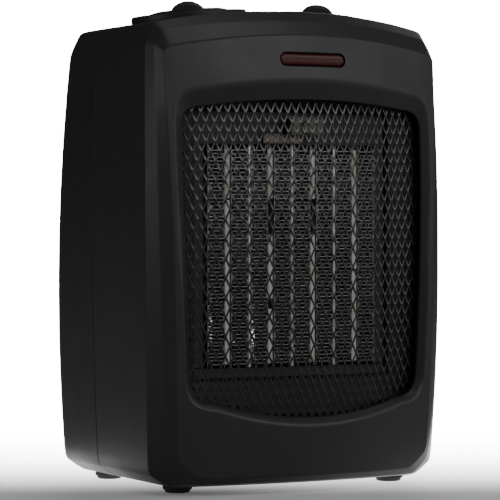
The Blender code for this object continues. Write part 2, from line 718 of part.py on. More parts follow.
def screws():
    """Screws that hold the rear shell to the posts of the front shell."""
    number = 0
    for x in (-POST_X, POST_X):
        for z in (POST_LOW, POST_HIGH):
            number += 1
            name = f"rear_screw_{number}"
            face = rear_y(x, z) - 0.9
            screw = lathe(name, [(0, face - 14.0), (1.6, face - 14.0), (1.6, face + 0.2), (3.6, face + 0.2),
                                 (3.6, face + 1.2), (2.6, face + 2.1), (0, face + 2.1)],
                          material(name, (0.35, 0.35, 0.35), 0.35, 1.0), "Y", (x, 0, z), 20)
            for low, high in (((-2.2, 0, -0.45), (2.2, 0, 0.45)), ((-0.45, 0, -2.2), (0.45, 0, 2.2))):
                cut(screw, box("slot", (x + low[0], face + 1.1, z + low[2]), (x + high[0], face + 3.0, z + high[2])))
            smooth(screw)


def cord_inlet():
    """Gland in the back and the clamp inside it, ready for a cord."""
    face = rear_y(GLAND_X, GLAND_Z)
    gland = ring_lathe("cord_gland", [(3.2, face - 9.0), (GLAND_RADIUS - 0.4, face - 9.0),
                                      (GLAND_RADIUS - 0.1, face + 0.9), (GLAND_RADIUS + 2.4, face + 0.9),
                                      (GLAND_RADIUS + 2.0, face + 3.0), (3.2, face + 3.0)],
                       material("cord_gland", (0.02, 0.02, 0.02), 0.7), "Y", (GLAND_X, 0, GLAND_Z), 28)
    smooth(gland)
    clamp = box("cord_clamp", (GLAND_X - 9.0, face - 22.0, GLAND_Z - 9.0), (GLAND_X + 9.0, face - 14.0, GLAND_Z + 7.0),
                material("cord_clamp", (0.06, 0.06, 0.06), 0.6))
    cut(clamp, rod("passage", face - 30.0, face - 5.0, 3.2, None, "Y", (GLAND_X, 0, GLAND_Z), 20))


def lead(name, path, colour):
    """Insulated wire along a smooth path."""
    curve = bpy.data.curves.new(name, "CURVE")
    curve.dimensions = "3D"
    curve.resolution_u = 4
    curve.bevel_depth = 1.1 * MM
    curve.bevel_resolution = 1
    curve.use_fill_caps = True
    spline = curve.splines.new("BEZIER")
    spline.bezier_points.add(len(path) - 1)
    for point, place in zip(spline.bezier_points, path):
        point.co = Vector(place) * MM
        point.handle_left_type = "AUTO"
        point.handle_right_type = "AUTO"
    source = bpy.data.objects.new("path", curve)
    bpy.context.scene.collection.objects.link(source)
    bpy.context.view_layer.update()
    mesh = bpy.data.meshes.new_from_object(source.evaluated_get(bpy.context.evaluated_depsgraph_get()))
    bpy.data.objects.remove(source)
    bpy.data.curves.remove(curve)
    mesh.name = name
    body = bmesh.new()
    body.from_mesh(mesh)
    bmesh.ops.remove_doubles(body, verts=body.verts, dist=0.00001)
    bmesh.ops.recalc_face_normals(body, faces=body.faces)
    body.to_mesh(mesh)
    body.free()
    mesh.materials.clear()
    mesh.materials.append(material(name, colour, 0.45))
    obj = bpy.data.objects.new(name, mesh)
    bpy.context.scene.collection.objects.link(obj)
    smooth(obj, 50.0)


def wiring():
    """Leads between the cord clamp, the switch, the lamp and the heater."""
    lead("lead_supply", [(-52, 39, 34), (-66, 30, 60), (-68, 20, 150), (-58, 10, 200), (-42, 6, 210.5)],
         (0.25, 0.10, 0.05))
    lead("lead_heater", [(-32, -6, 210.5), (-24, -13, 203), (-18, -17.5, 196), (-18, -17.5, 187), (-19, -21.5, 181)],
         (0.55, 0.55, 0.52))
    lead("lead_thermostat", [(-30, 8, 210.5), (-12, 16, 202), (14, 16, 202), (31, 8, 210.5)],
         (0.12, 0.2, 0.5))


def build():
    for obj in list(bpy.data.objects):
        bpy.data.objects.remove(obj)
    front_housing()
    rear_housing()
    outlet_grille()
    intake_grille()
    outlet_duct()
    heater_block()
    heater_holder()
    thermal_cutout()
    fan()
    control(-1, "power_switch", "power_dial", "power_knob", (0.6, 0.58, 0.52))
    control(1, "thermostat", "thermostat_dial", "thermostat_knob", (0.42, 0.36, 0.26))
    indicator()
    feet()
    screws()
    cord_inlet()
    wiring()
    for obj in bpy.data.objects:
        obj.location.y += SHIFT_Y * MM


build()
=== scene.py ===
"""Finished looks of a small ceramic fan heater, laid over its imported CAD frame.

Sizes inside the classes are millimetres in the frame's axes: +X right, the
heater blows towards -Y, +Z up, the floor is Z = 0.
"""
import logging
import math
import random
from collections.abc import Callable
from collections.abc import Sequence
from dataclasses import dataclass
from dataclasses import field
from enum import Enum

import bmesh
import bpy
from mathutils import Matrix
from mathutils import Vector


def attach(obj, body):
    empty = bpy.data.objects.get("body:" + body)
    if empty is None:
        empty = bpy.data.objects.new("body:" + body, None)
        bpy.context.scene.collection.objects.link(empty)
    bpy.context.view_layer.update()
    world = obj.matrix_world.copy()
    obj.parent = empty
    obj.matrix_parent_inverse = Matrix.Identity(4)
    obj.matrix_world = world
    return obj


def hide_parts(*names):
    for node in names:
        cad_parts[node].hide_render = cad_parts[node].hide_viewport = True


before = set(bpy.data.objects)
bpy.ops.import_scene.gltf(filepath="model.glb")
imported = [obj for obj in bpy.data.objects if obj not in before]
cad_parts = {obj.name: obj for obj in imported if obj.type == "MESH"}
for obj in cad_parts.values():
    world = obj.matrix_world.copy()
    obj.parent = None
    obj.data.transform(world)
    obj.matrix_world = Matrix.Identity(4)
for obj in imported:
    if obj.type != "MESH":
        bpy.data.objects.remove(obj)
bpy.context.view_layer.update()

LOG = logging.getLogger("heater")
MM = 0.001
SHIFT_Y = -1.1445         # added to a depth in the drawing to give the frame's depth
WELD = 0.000005           # metres, points closer than this are one
SLIVER = 0.000002         # metres, faces thinner than this are dropped

Point = tuple[float, float, float]
Flat = tuple[float, float]
Depth = Callable[[float, float], float]


class Grain(Enum):
    """How a moulded surface was textured in its tool."""

    POLISHED = 0.0
    SATIN = 0.05
    ETCHED = 0.11
    COARSE = 0.2


class Side(Enum):
    """Left or right as seen from in front of the heater."""

    LEFT = -1
    RIGHT = 1


# ---------------------------------------------------------------- mesh tools


def new_piece(name: str, points: Sequence[Point], faces: Sequence[Sequence[int]]) -> bpy.types.Object:
    """Make a clean mesh object from millimetre points.

    Args:
        name: Name of the piece.
        points: Corners in millimetres.
        faces: Corner numbers of every face.

    Returns:
        The linked object, its faces turned outwards.
    """
    mesh = bpy.data.meshes.new(name)
    mesh.from_pydata([(x * MM, (y + SHIFT_Y) * MM, z * MM) for x, y, z in points], [], faces)
    body = bmesh.new()
    body.from_mesh(mesh)
    bmesh.ops.remove_doubles(body, verts=body.verts, dist=WELD)
    bmesh.ops.recalc_face_normals(body, faces=body.faces)
    if body.calc_volume(signed=True) < 0:
        bmesh.ops.reverse_faces(body, faces=body.faces)
    body.to_mesh(mesh)
    body.free()
    piece = bpy.data.objects.new(name, mesh)
    bpy.context.scene.collection.objects.link(piece)
    return piece


def evaluated(piece: bpy.types.Object) -> None:
    """Apply the modifiers of a piece to its mesh."""
    bpy.context.view_layer.update()
    graph = bpy.context.evaluated_depsgraph_get()
    result = bpy.data.meshes.new_from_object(piece.evaluated_get(graph))
    piece.modifiers.clear()
    old = piece.data
    name = old.name
    piece.data = result
    bpy.data.meshes.remove(old)
    result.name = name


def combine(target: bpy.types.Object, tool: bpy.types.Object, kind: str) -> None:
    """Cut or join the tool into the target and drop the tool.

    Args:
        target: Piece that is kept.
        tool: Piece that is used up.
        kind: "DIFFERENCE" or "UNION".
    """
    step = target.modifiers.new("combine", "BOOLEAN")
    step.operation = kind
    step.solver = "EXACT"
    step.object = tool
    evaluated(target)
    used = tool.data
    bpy.data.objects.remove(tool)
    bpy.data.meshes.remove(used)
    body = bmesh.new()
    body.from_mesh(target.data)
    bmesh.ops.remove_doubles(body, verts=body.verts, dist=WELD)
    bmesh.ops.dissolve_degenerate(body, edges=body.edges, dist=SLIVER)
    body.to_mesh(target.data)
    body.free()


def smooth(piece: bpy.types.Object, degrees: float = 32.0) -> bpy.types.Object:
    """Shade the piece smooth, with flats kept flat and edges kept sharp.

    Args:
        piece: Piece to shade.
        degrees: Edges steeper than this stay sharp.

    Returns:
        The same piece.
    """
    piece.data.shade_smooth()
    piece.data.set_sharp_from_angle(angle=math.radians(degrees))
    step = piece.modifiers.new("weights", "WEIGHTED_NORMAL")
    step.keep_sharp = True
    step.weight = 50
    evaluated(piece)
    return piece


def skin(name: str, rings: Sequence[Sequence[Point]], tube: bool) -> bpy.types.Object:
    """Skin a stack of equal rings.

    Args:
        name: Name of the piece.
        rings: Rings with the same number of points.
        tube: True joins the last ring to the first, False caps both ends.

    Returns:
        The closed piece.
    """
    count = len(rings[0])
    points = [point for ring in rings for point in ring]
    stacks = len(rings) if tube else len(rings) - 1
    faces: list[tuple[int, ...]] = []
    for r in range(stacks):
        low = r * count
        high = ((r + 1) % len(rings)) * count
        for k in range(count):
            n = (k + 1) % count
            faces.append((low + k, low + n, high + n, high + k))
    if not tube:
        last = (len(rings) - 1) * count
        faces.append(tuple(range(count)))
        faces.append(tuple(last + k for k in reversed(range(count))))
    return new_piece(name, points, faces)


def turned(name: str, profile: Sequence[Flat], place: Matrix, sides: int = 64) -> bpy.types.Object:
    """Turn a (radius, height) profile round the local Z axis.

    Args:
        name: Name of the piece.
        profile: Closed by radius 0 at both ends, or by joining end to start.
        place: Where the local frame sits, in millimetres.
        sides: Steps round the circle.

    Returns:
        The turned piece.
    """
    points: list[Point] = []
    rows: list[list[int]] = []
    for radius, height in profile:
        count = 1 if radius < 1e-6 else sides
        row = []
        for k in range(count):
            turn = 2 * math.pi * k / sides
            spot = place @ Vector((radius * math.cos(turn), radius * math.sin(turn), height))
            row.append(len(points))
            points.append(tuple(spot))
        rows.append(row)
    faces = []
    for first, second in zip(rows, rows[1:]):
        for k in range(sides):
            quad = (first[k % len(first)], first[(k + 1) % len(first)],
                    second[(k + 1) % len(second)], second[k % len(second)])
            face = list(dict.fromkeys(quad))
            if len(face) > 2:
                faces.append(face)
    return new_piece(name, points, faces)


def soft_block(name: str, low: Point, high: Point, radius: float, steps: int = 3) -> bpy.types.Object:
    """A block between two corners with rounded edges."""
    points = [(x, y, z) for z in (low[2], high[2]) for y in (low[1], high[1]) for x in (low[0], high[0])]
    faces = [(0, 2, 3, 1), (4, 5, 7, 6), (0, 1, 5, 4), (2, 6, 7, 3), (0, 4, 6, 2), (1, 3, 7, 5)]
    piece = new_piece(name, points, faces)
    body = bmesh.new()
    body.from_mesh(piece.data)
    bmesh.ops.bevel(body, geom=list(body.edges), offset=radius * MM, offset_type="OFFSET",
                    segments=steps, profile=0.5, affect="EDGES")
    body.to_mesh(piece.data)
    body.free()
    return piece


def rod(name: str, low: float, high: float, radius: float, place: Matrix, sides: int = 48) -> bpy.types.Object:
    """A plain round rod along the local Z axis."""
    return turned(name, [(0, low), (radius, low), (radius, high), (0, high)], place, sides)


def along_y(x: float, z: float) -> Matrix:
    """A frame whose Z axis points to the back of the heater."""
    return Matrix.Translation((x, 0, z)) @ Matrix.Rotation(-math.pi / 2, 4, "X")


def merged(name: str, pieces: Sequence[bpy.types.Object]) -> bpy.types.Object:
    """Gather separate bodies of the same part into one piece."""
    body = bmesh.new()
    for piece in pieces:
        body.from_mesh(piece.data)
        mesh = piece.data
        bpy.data.objects.remove(piece)
        bpy.data.meshes.remove(mesh)
    mesh = bpy.data.meshes.new(name)
    body.to_mesh(mesh)
    body.free()
    whole = bpy.data.objects.new(name, mesh)
    bpy.context.scene.collection.objects.link(whole)
    return whole


# ------------------------------------------------------------------ finishes


class Recipe:
    """Small helper that wires one procedural material."""

    def __init__(self, name: str) -> None:
        """Start an empty Principled material."""
        self.material = bpy.data.materials.new(name)
        self.material.use_nodes = True
        self.nodes = self.material.node_tree.nodes
        self.links = self.material.node_tree.links
        self.shader = self.nodes["Principled BSDF"]
        self.coords = self.nodes.new("ShaderNodeTexCoord").outputs["Object"]

    def stretched(self, scale: Point) -> bpy.types.NodeSocket:
        """Coordinates scaled per axis, for drawn or brushed grain."""
        node = self.nodes.new("ShaderNodeMapping")
        node.inputs["Scale"].default_value = scale
        self.links.new(self.coords, node.inputs["Vector"])
        return node.outputs["Vector"]

    def noise(self, scale: float, detail: float, vector: bpy.types.NodeSocket | None = None) -> bpy.types.NodeSocket:
        """A noise value at features per metre."""
        node = self.nodes.new("ShaderNodeTexNoise")
        node.inputs["Scale"].default_value = scale
        node.inputs["Detail"].default_value = detail
        self.links.new(vector or self.coords, node.inputs["Vector"])
        return node.outputs["Fac"]

    def spread(self, value: bpy.types.NodeSocket, low: float, high: float,
               start: float = 0.3, end: float = 0.7) -> bpy.types.NodeSocket:
        """Map a noise value to a range."""
        node = self.nodes.new("ShaderNodeMapRange")
        node.inputs["From Min"].default_value = start
        node.inputs["From Max"].default_value = end
        node.inputs["To Min"].default_value = low
        node.inputs["To Max"].default_value = high
        self.links.new(value, node.inputs["Value"])
        return node.outputs["Result"]

    def math(self, kind: str, first: bpy.types.NodeSocket,
             second: bpy.types.NodeSocket | float = 0.0) -> bpy.types.NodeSocket:
        """Combine two values."""
        node = self.nodes.new("ShaderNodeMath")
        node.operation = kind
        self.links.new(first, node.inputs[0])
        if isinstance(second, bpy.types.NodeSocket):
            self.links.new(second, node.inputs[1])
        else:
            node.inputs[1].default_value = second
        return node.outputs["Value"]

    def ramp(self, value: bpy.types.NodeSocket, stops: Sequence[tuple[float, Point]]) -> bpy.types.NodeSocket:
        """Colour a noise value."""
        node = self.nodes.new("ShaderNodeValToRGB")
        band = node.color_ramp
        while len(band.elements) < len(stops):
            band.elements.new(0.5)
        for element, (place, colour) in zip(band.elements, stops):
            element.position = place
            element.color = (*colour, 1.0)
        self.links.new(value, node.inputs["Fac"])
        return node.outputs["Color"]

    def relief(self, value: bpy.types.NodeSocket, strength: float, height: float) -> None:
        """Raise the surface by a noise value, on top of any relief that is there."""
        node = self.nodes.new("ShaderNodeBump")
        node.inputs["Strength"].default_value = strength
        node.inputs["Distance"].default_value = height
        self.links.new(value, node.inputs["Height"])
        before = self.shader.inputs["Normal"].links
        if before:
            self.links.new(before[0].from_socket, node.inputs["Normal"])
        self.links.new(node.outputs["Normal"], self.shader.inputs["Normal"])

    def set(self, **values: float) -> None:
        """Set uniform values on the shader by socket name, with _ for a space."""
        for key, value in values.items():
            self.shader.inputs[key.replace("_", " ")].default_value = value

    def feed(self, key: str, socket: bpy.types.NodeSocket) -> None:
        """Drive one shader socket."""
        self.links.new(socket, self.shader.inputs[key])


def shade(colour: Point, factor: float) -> Point:
    """The same colour, lighter or darker."""
    return tuple(min(1.0, channel * factor) for channel in colour)


@dataclass(frozen=True)
class Finish:
    """What a piece is made of; each kind wires its own procedural material."""

    name: str
    colour: Point
    roughness: float = 0.5

    def material(self) -> bpy.types.Material:
        """Build the material once and share it afterwards.

        Returns:
            The material that carries this finish's name.
        """
        made = bpy.data.materials.get(self.name)
        if made:
            return made
        mix = Recipe(self.name)
        self.wire(mix)
        return mix.material

    def wire(self, mix: Recipe) -> None:
        """Lay out the nodes of the material."""
        raise NotImplementedError

    def tint(self, mix: Recipe, value: bpy.types.NodeSocket, dark: float, light: float,
             start: float = 0.3, end: float = 0.7) -> None:
        """Let the colour drift with a noise value.

        Args:
            mix: Material being wired.
            value: Noise that drives the drift.
            dark: Factor on the colour at the low end.
            light: Factor on the colour at the high end.
            start: Noise value of the low end.
            end: Noise value of the high end.
        """
        mix.feed("Base Color", mix.ramp(value, [(start, shade(self.colour, dark)), (end, shade(self.colour, light))]))

    def wear(self, mix: Recipe, value: bpy.types.NodeSocket, below: float, above: float) -> None:
        """Let the roughness drift by so much below and above its own value."""
        mix.feed("Roughness", mix.spread(value, self.roughness - below, self.roughness + above))


@dataclass(frozen=True)
class Plastic(Finish):
    """Moulded plastic with tool grain, flow shading and handling sheen."""

    grain: Grain = Grain.SATIN
    sheen: float = 0.5

    def wire(self, mix: Recipe) -> None:
        """Lay out the nodes of the material."""
        self.tint(mix, mix.noise(14.0, 3.0), 0.88, 1.12)
        self.wear(mix, mix.noise(60.0, 4.0), 0.03, 0.04)
        mix.set(Specular_IOR_Level=self.sheen)
        if self.grain.value:
            mix.relief(mix.noise(2600.0, 2.0), self.grain.value * 3.0, 0.00004)
        mix.relief(mix.noise(45.0, 1.0), 0.06, 0.0004)


@dataclass(frozen=True)
class Metal(Finish):
    """Sheet or turned metal with drawn grain and dull patches."""

    stretch: Point = (1.0, 1.0, 1.0)
    metallic: float = 1.0

    def wire(self, mix: Recipe) -> None:
        """Lay out the nodes of the material."""
        drawn = mix.noise(900.0, 3.0, mix.stretched(self.stretch))
        self.tint(mix, mix.noise(120.0, 4.0), 0.75, 1.1, 0.32, 0.66)
        self.wear(mix, drawn, 0.07, 0.1)
        mix.set(Metallic=self.metallic)
        mix.relief(drawn, 0.15, 0.00005)


@dataclass(frozen=True)
class Ceramic(Finish):
    """Sintered ceramic with specks and a slight heat stain."""

    stain: Point = (0.5, 0.46, 0.38)

    def wire(self, mix: Recipe) -> None:
        """Lay out the nodes of the material."""
        cloud = mix.noise(70.0, 3.0)
        stops = [(0.36, self.stain), (0.52, self.colour), (0.7, shade(self.colour, 1.1))]
        mix.feed("Base Color", mix.ramp(cloud, stops))
        self.wear(mix, mix.noise(1500.0, 2.0), 0.08, 0.08)
        mix.relief(mix.noise(1800.0, 3.0), 0.3, 0.00006)


@dataclass(frozen=True)
class TintedLens(Finish):
    """Deep coloured transparent plastic in front of a lamp."""

    def wire(self, mix: Recipe) -> None:
        """Lay out the nodes of the material."""
        self.tint(mix, mix.noise(220.0, 2.0), 0.7, 1.2)
        self.wear(mix, mix.noise(400.0, 2.0), 0.03, 0.04)
        mix.set(IOR=1.45, Transmission_Weight=0.1, Specular_IOR_Level=0.3)
        mix.relief(mix.noise(300.0, 1.0), 0.05, 0.0001)


@dataclass(frozen=True)
class Rubber(Finish):
    """Soft matt rubber with scuffs."""


    def wire(self, mix: Recipe) -> None:
        """Lay out the nodes of the material."""
        scuff = mix.noise(260.0, 4.0)
        self.tint(mix, scuff, 1.0, 1.8, 0.35, 0.75)
        self.wear(mix, scuff, 0.1, 0.1)
        mix.relief(mix.noise(1600.0, 2.0), 0.4, 0.00008)


BODY_PLASTIC = Plastic("satin_black_housing", (0.012, 0.0124, 0.0121), 0.42, Grain.SATIN, 0.35)
REAR_PLASTIC = Plastic("satin_black_rear", (0.012, 0.0124, 0.0122), 0.42, Grain.ETCHED, 0.3)
KNOB_PLASTIC = Plastic("knob_black", (0.013, 0.0133, 0.014), 0.45, Grain.SATIN, 0.25)
DIAL_PLASTIC = Plastic("dial_black", (0.012, 0.0123, 0.013), 0.45, Grain.POLISHED, 0.25)
DUCT_PLASTIC = Plastic("duct_grey", (0.016, 0.0163, 0.016), 0.5, Grain.ETCHED, 0.3)
FRAME_PLASTIC = Plastic("heat_resistant_black", (0.014, 0.014, 0.013), 0.55, Grain.COARSE)
FAN_PLASTIC = Plastic("fan_black", (0.03, 0.03, 0.03), 0.45, Grain.SATIN)
SWITCH_PLASTIC = Plastic("switch_cream", (0.42, 0.4, 0.34), 0.5, Grain.SATIN)
PHENOLIC = Plastic("thermostat_brown", (0.12, 0.07, 0.035), 0.45, Grain.COARSE)
HOLDER_PLASTIC = Plastic("lamp_holder_white", (0.45, 0.44, 0.4), 0.55, Grain.SATIN)
SCREEN_METAL = Metal("screen_black_lacquer", (0.006, 0.0063, 0.0065), 0.2, (1, 1, 1), 0.0)
FIN_METAL = Metal("fin_aluminium", (0.42, 0.42, 0.41), 0.38, (1, 6, 1))
STRIP_METAL = Metal("strip_aluminium", (0.7, 0.7, 0.67), 0.3, (1, 1, 0.1))
STEEL = Metal("zinc_steel", (0.42, 0.42, 0.42), 0.32, (1, 1, 0.2))
BRASSY = Metal("bimetal_brass", (0.15, 0.12, 0.095), 0.45, (1, 1, 1))
CUTOUT_METAL = Metal("cutout_can", (0.12, 0.117, 0.1), 0.5, (1, 1, 1))
MOTOR_METAL = Metal("motor_can", (0.45, 0.45, 0.44), 0.34, (1, 0.1, 1))
STONE = Ceramic("heating_ceramic", (0.6, 0.6, 0.57), 0.6)
RED_LENS = TintedLens("red_lens", (0.05, 0.0015, 0.003), 0.3)
AMBER_GLASS = TintedLens("neon_glass", (0.5, 0.2, 0.06), 0.08)
FOOT_RUBBER = Rubber("foot_rubber", (0.012, 0.012, 0.012), 0.8)
GLAND_RUBBER = Rubber("gland_rubber", (0.014, 0.014, 0.014), 0.8)
LEAD_BROWN = Plastic("lead_brown", (0.16, 0.06, 0.03), 0.4, Grain.SATIN)
LEAD_WHITE = Plastic("lead_white", (0.5, 0.5, 0.47), 0.45, Grain.SATIN)
LEAD_BLUE = Plastic("lead_blue", (0.05, 0.1, 0.3), 0.4, Grain.SATIN)


# ---------------------------------------------------------------- assemblies


@dataclass
class Assembly:
    """A group of pieces that move with one body."""

    body: str = "housing"
    pieces: list[str] = field(default_factory=list)

    def place(self, piece: bpy.types.Object, finish: Finish, node: str, *more: str) -> bpy.types.Object:
        """Dress a piece, let it ride its body and stand for its CAD nodes.

        Args:
            piece: The finished mesh.
            finish: What it is made of.
            node: CAD node which it replaces.
            more: Further CAD nodes that it replaces.

        Returns:
            The same piece.
        """
        piece.data.materials.clear()
        piece.data.materials.append(finish.material())
        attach(piece, self.body)
        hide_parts(node, *more)
        self.pieces.append(piece.name)
        LOG.info("%s: %d faces", piece.name, len(piece.data.polygons))
        return piece

    def keep(self, node: str, finish: Finish) -> None:
        """Dress a CAD node that is shown as it is."""
        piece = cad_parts[node]
        piece.data.materials.clear()
        piece.data.materials.append(finish.material())
        self.pieces.append(node)
        LOG.info("%s: kept from the frame", node)


@dataclass(frozen=True)
class HousingForm:
    """The bowed surfaces of the housing that its parts share."""

    half: float = 84.39
    pinch: float = 2.9
    floor: float = 3.5
    crown: float = 240.2
    arch: float = 6.9
    wall: float = 2.2
    seam: float = 16.6
    gap: float = 0.3
    recess: float = 4.0
    short_step: float = 2.4

    def side(self, z: float) -> float:
        """Half width at a height."""
        return self.half - self.pinch * ((z - 120.0) / 110.0) ** 2

    def top(self, x: float) -> float:
        """Height of the arched top."""
        return self.crown - self.arch * (abs(x) / 76.0) ** 2.2

    def face(self, x: float, z: float) -> float:
        """Depth of the bezel."""
        return -68.0 + 5.4 * ((z - 108.0) / 110.0) ** 2 + 11.5 * (x / 76.0) ** 2

    def back(self, x: float, z: float) -> float:
        """Depth of the back."""
        return 67.6 - 6.3 * ((z - 80.0) / 110.0) ** 2 - 3.0 * (x / 82.0) ** 2

    def shoulder(self, x: float, z: float) -> float:
        """Depth where the sides end and the bezel edge begins."""
        return -45.6 + 6.0 * ((z - 100.0) / 115.0) ** 2 - 9.0 * (1.0 - (x / 82.0) ** 2)

    def crease(self, x: float, z: float) -> float:
        """Depth of the line between the two bands of the bezel edge."""
        return -52.3 + 7.0 * ((z - 95.0) / 125.0) ** 2 - 10.5 * (1.0 - (x / 80.0) ** 2)

    def outline(self, side: Callable[[float], float], low: float, high: float, x_low: float,
                bottom: Callable[[float], float], x_top: float, top: Callable[[float], float],
                soft: float) -> list[Flat]:
        """Closed outline seen from the front.

        Args:
            side: Half width at a height.
            low: Height where the lower corner begins.
            high: Height where the upper corner begins.
            x_low: Where the lower corner ends.
            bottom: Height of the lower edge.
            x_top: Where the upper corner ends.
            top: Height of the upper edge.
            soft: 0 for a flat corner, 1 for a full round one.

        Returns:
            (x, z) pairs, the same number for every outline.
        """
        half: list[Flat] = [(x_low * k / 12.0, bottom(x_low * k / 12.0)) for k in range(12)]

        def corner(start: Flat, end: Flat, sharp: Flat) -> None:
            """Add a corner that is pulled from its chord towards the sharp point."""
            middle = ((start[0] + end[0]) / 2, (start[1] + end[1]) / 2)
            pull = tuple(m + soft * (s - m) for m, s in zip(middle, sharp))
            for k in range(10):
                t = k / 10.0
                half.append(tuple(a * (1 - t) ** 2 + 2 * p * t * (1 - t) + b * t * t
                                  for a, p, b in zip(start, pull, end)))

        corner((x_low, bottom(x_low)), (side(low), low), (side(low), bottom(x_low)))
        for k in range(36):
            z = low + (high - low) * k / 36.0
            half.append((side(z), z))
        corner((side(high), high), (x_top, top(x_top)), (side(high), top(x_top)))
        for k in range(25):
            x = x_top * (1 - k / 24.0)
            half.append((x, top(x)))
        whole = half + [(-x, z) for x, z in reversed(half[1:-1])]
        return self.eased(whole)

    def eased(self, loop: list[Flat]) -> list[Flat]:
        """Round off the ends of the corners a little, where the steps are short."""
        count = len(loop)
        after = []
        for k, here in enumerate(loop):
            last, following = loop[k - 1], loop[(k + 1) % count]
            if math.dist(last, here) < self.short_step or math.dist(here, following) < self.short_step:
                here = tuple(0.5 * h + 0.25 * (a + b) for h, a, b in zip(here, last, following))
            after.append(here)
        return after

    def body_line(self, inset: float = 0.0) -> list[Flat]:
        """Outline of the sides and top, moved inwards."""
        return self.outline(lambda z: self.side(z) - inset, 11.0 + 0.4 * inset, 221.0 - 0.4 * inset,
                            70.0 - 0.6 * inset, lambda x: self.floor + inset,
                            76.5 - 0.6 * inset, lambda x: self.top(x) - inset, 0.12)

    def crease_line(self, inset: float = 0.0) -> list[Flat]:
        """Outline of the middle crease of the bezel edge."""
        return self.outline(lambda z: self.side(z) - 2.2 - 4.8 * (219.0 - z) / 204.0 - inset, 14.0, 220.0,
                            64.0 - inset, lambda x: 5.2 + inset,
                            74.6 - inset, lambda x: self.top(x) - 5.4 - inset, 0.2)

    def face_line(self, inset: float = 0.0) -> list[Flat]:
        """Outline of the flat front of the bezel."""
        return self.outline(lambda z: 77.6 - 6.0 * (219.0 - z) / 199.0 - inset, 18.0, 217.5,
                            59.5 - inset, lambda x: 8.4 + inset, 73.8 - inset,
                            lambda x: 227.6 - 7.4 * (abs(x) / 76.0) ** 2 - inset, 0.2)

    def recess_line(self, grow: float = 0.0) -> list[Flat]:
        """Outer edge of the sunk frame round the outlet."""
        return self.outline(lambda z: 72.8 - 5.6 * max(0.0, (160.0 - z) / 120.0) ** 1.2 + grow, 57.5, 184.0,
                            53.0, lambda x: 34.1 + 10.0 * (x / 56.0) ** 2 - grow,
                            60.0, lambda x: 204.6 - 5.2 * (abs(x) / 60.0) ** 2 + grow, 1.0)

    def outlet_line(self, grow: float = 0.0) -> list[Flat]:
        """Edge of the air outlet."""
        return self.outline(lambda z: 68.1 - 4.3 * max(0.0, (160.0 - z) / 120.0) ** 1.2 + grow, 58.5, 182.0,
                            52.0, lambda x: 37.4 + 9.5 * (x / 56.0) ** 2 - grow,
                            58.0, lambda x: 195.2 - 4.4 * (abs(x) / 60.0) ** 2 + grow, 1.0)

    def intake_line(self, grow: float = 0.0) -> list[Flat]:
        """Edge of the air intake in the back."""
        return self.outline(lambda z: 50.0 + grow, 53.0, 175.0, 49.0, lambda x: 52.0 - grow,
                            49.0, lambda x: 176.0 + grow, 1.0)


FORM = HousingForm()


def laid(line: Sequence[Flat], depth: float | Depth) -> list[Point]:
    """Put an outline at a depth or on a bowed surface."""
    if callable(depth):
        return [(x, depth(x, z), z) for x, z in line]
    return [(x, depth, z) for x, z in line]


def behind(surface: Depth, distance: float) -> Depth:
    """The same bowed surface, moved back by a distance."""
    return lambda x, z: surface(x, z) + distance


def pill_line(radius: float, reach: float, middle: float, phase: float) -> list[Flat]:
    """Outline with two round ends.

    Args:
        radius: Half the height.
        reach: From the middle to the centre of each round end.
        middle: Height of its middle.
        phase: Share of a step by which the points are turned.

    Returns:
        (x, z) pairs.
    """
    line = []
    for k in range(48):
        turn = 2 * math.pi * (k + phase) / 48
        line.append((radius * math.cos(turn) + math.copysign(reach, math.cos(turn)),
                     middle + radius * math.sin(turn)))
    return line


def filleted(rings: Sequence[tuple[list[Point], float]], steps: int = 4) -> list[list[Point]]:
    """Round every edge of a closed stack of rings.

    Args:
        rings: Pairs of a ring and how far its rounding reaches, 0 for none.
        steps: Facets in each rounding.

    Returns:
        The denser stack of rings.
    """
    result: list[list[Point]] = []
    count = len(rings)
    for r, (ring, reach) in enumerate(rings):
        if reach <= 0:
            result.append(ring)
            continue
        before = rings[r - 1][0]
        after = rings[(r + 1) % count][0]
        layers: list[list[Point]] = [[] for _ in range(steps + 1)]
        for here, last, following in zip(ring, before, after):
            centre = Vector(here)
            back = Vector(last) - centre
            ahead = Vector(following) - centre
            start = centre + back.normalized() * min(reach, 0.45 * back.length)
            end = centre + ahead.normalized() * min(reach, 0.45 * ahead.length)
            for s, layer in enumerate(layers):
                t = s / steps
                layer.append(tuple(start * (1 - t) ** 2 + centre * (2 * t * (1 - t)) + end * (t * t)))
        result.extend(layers)
    return result


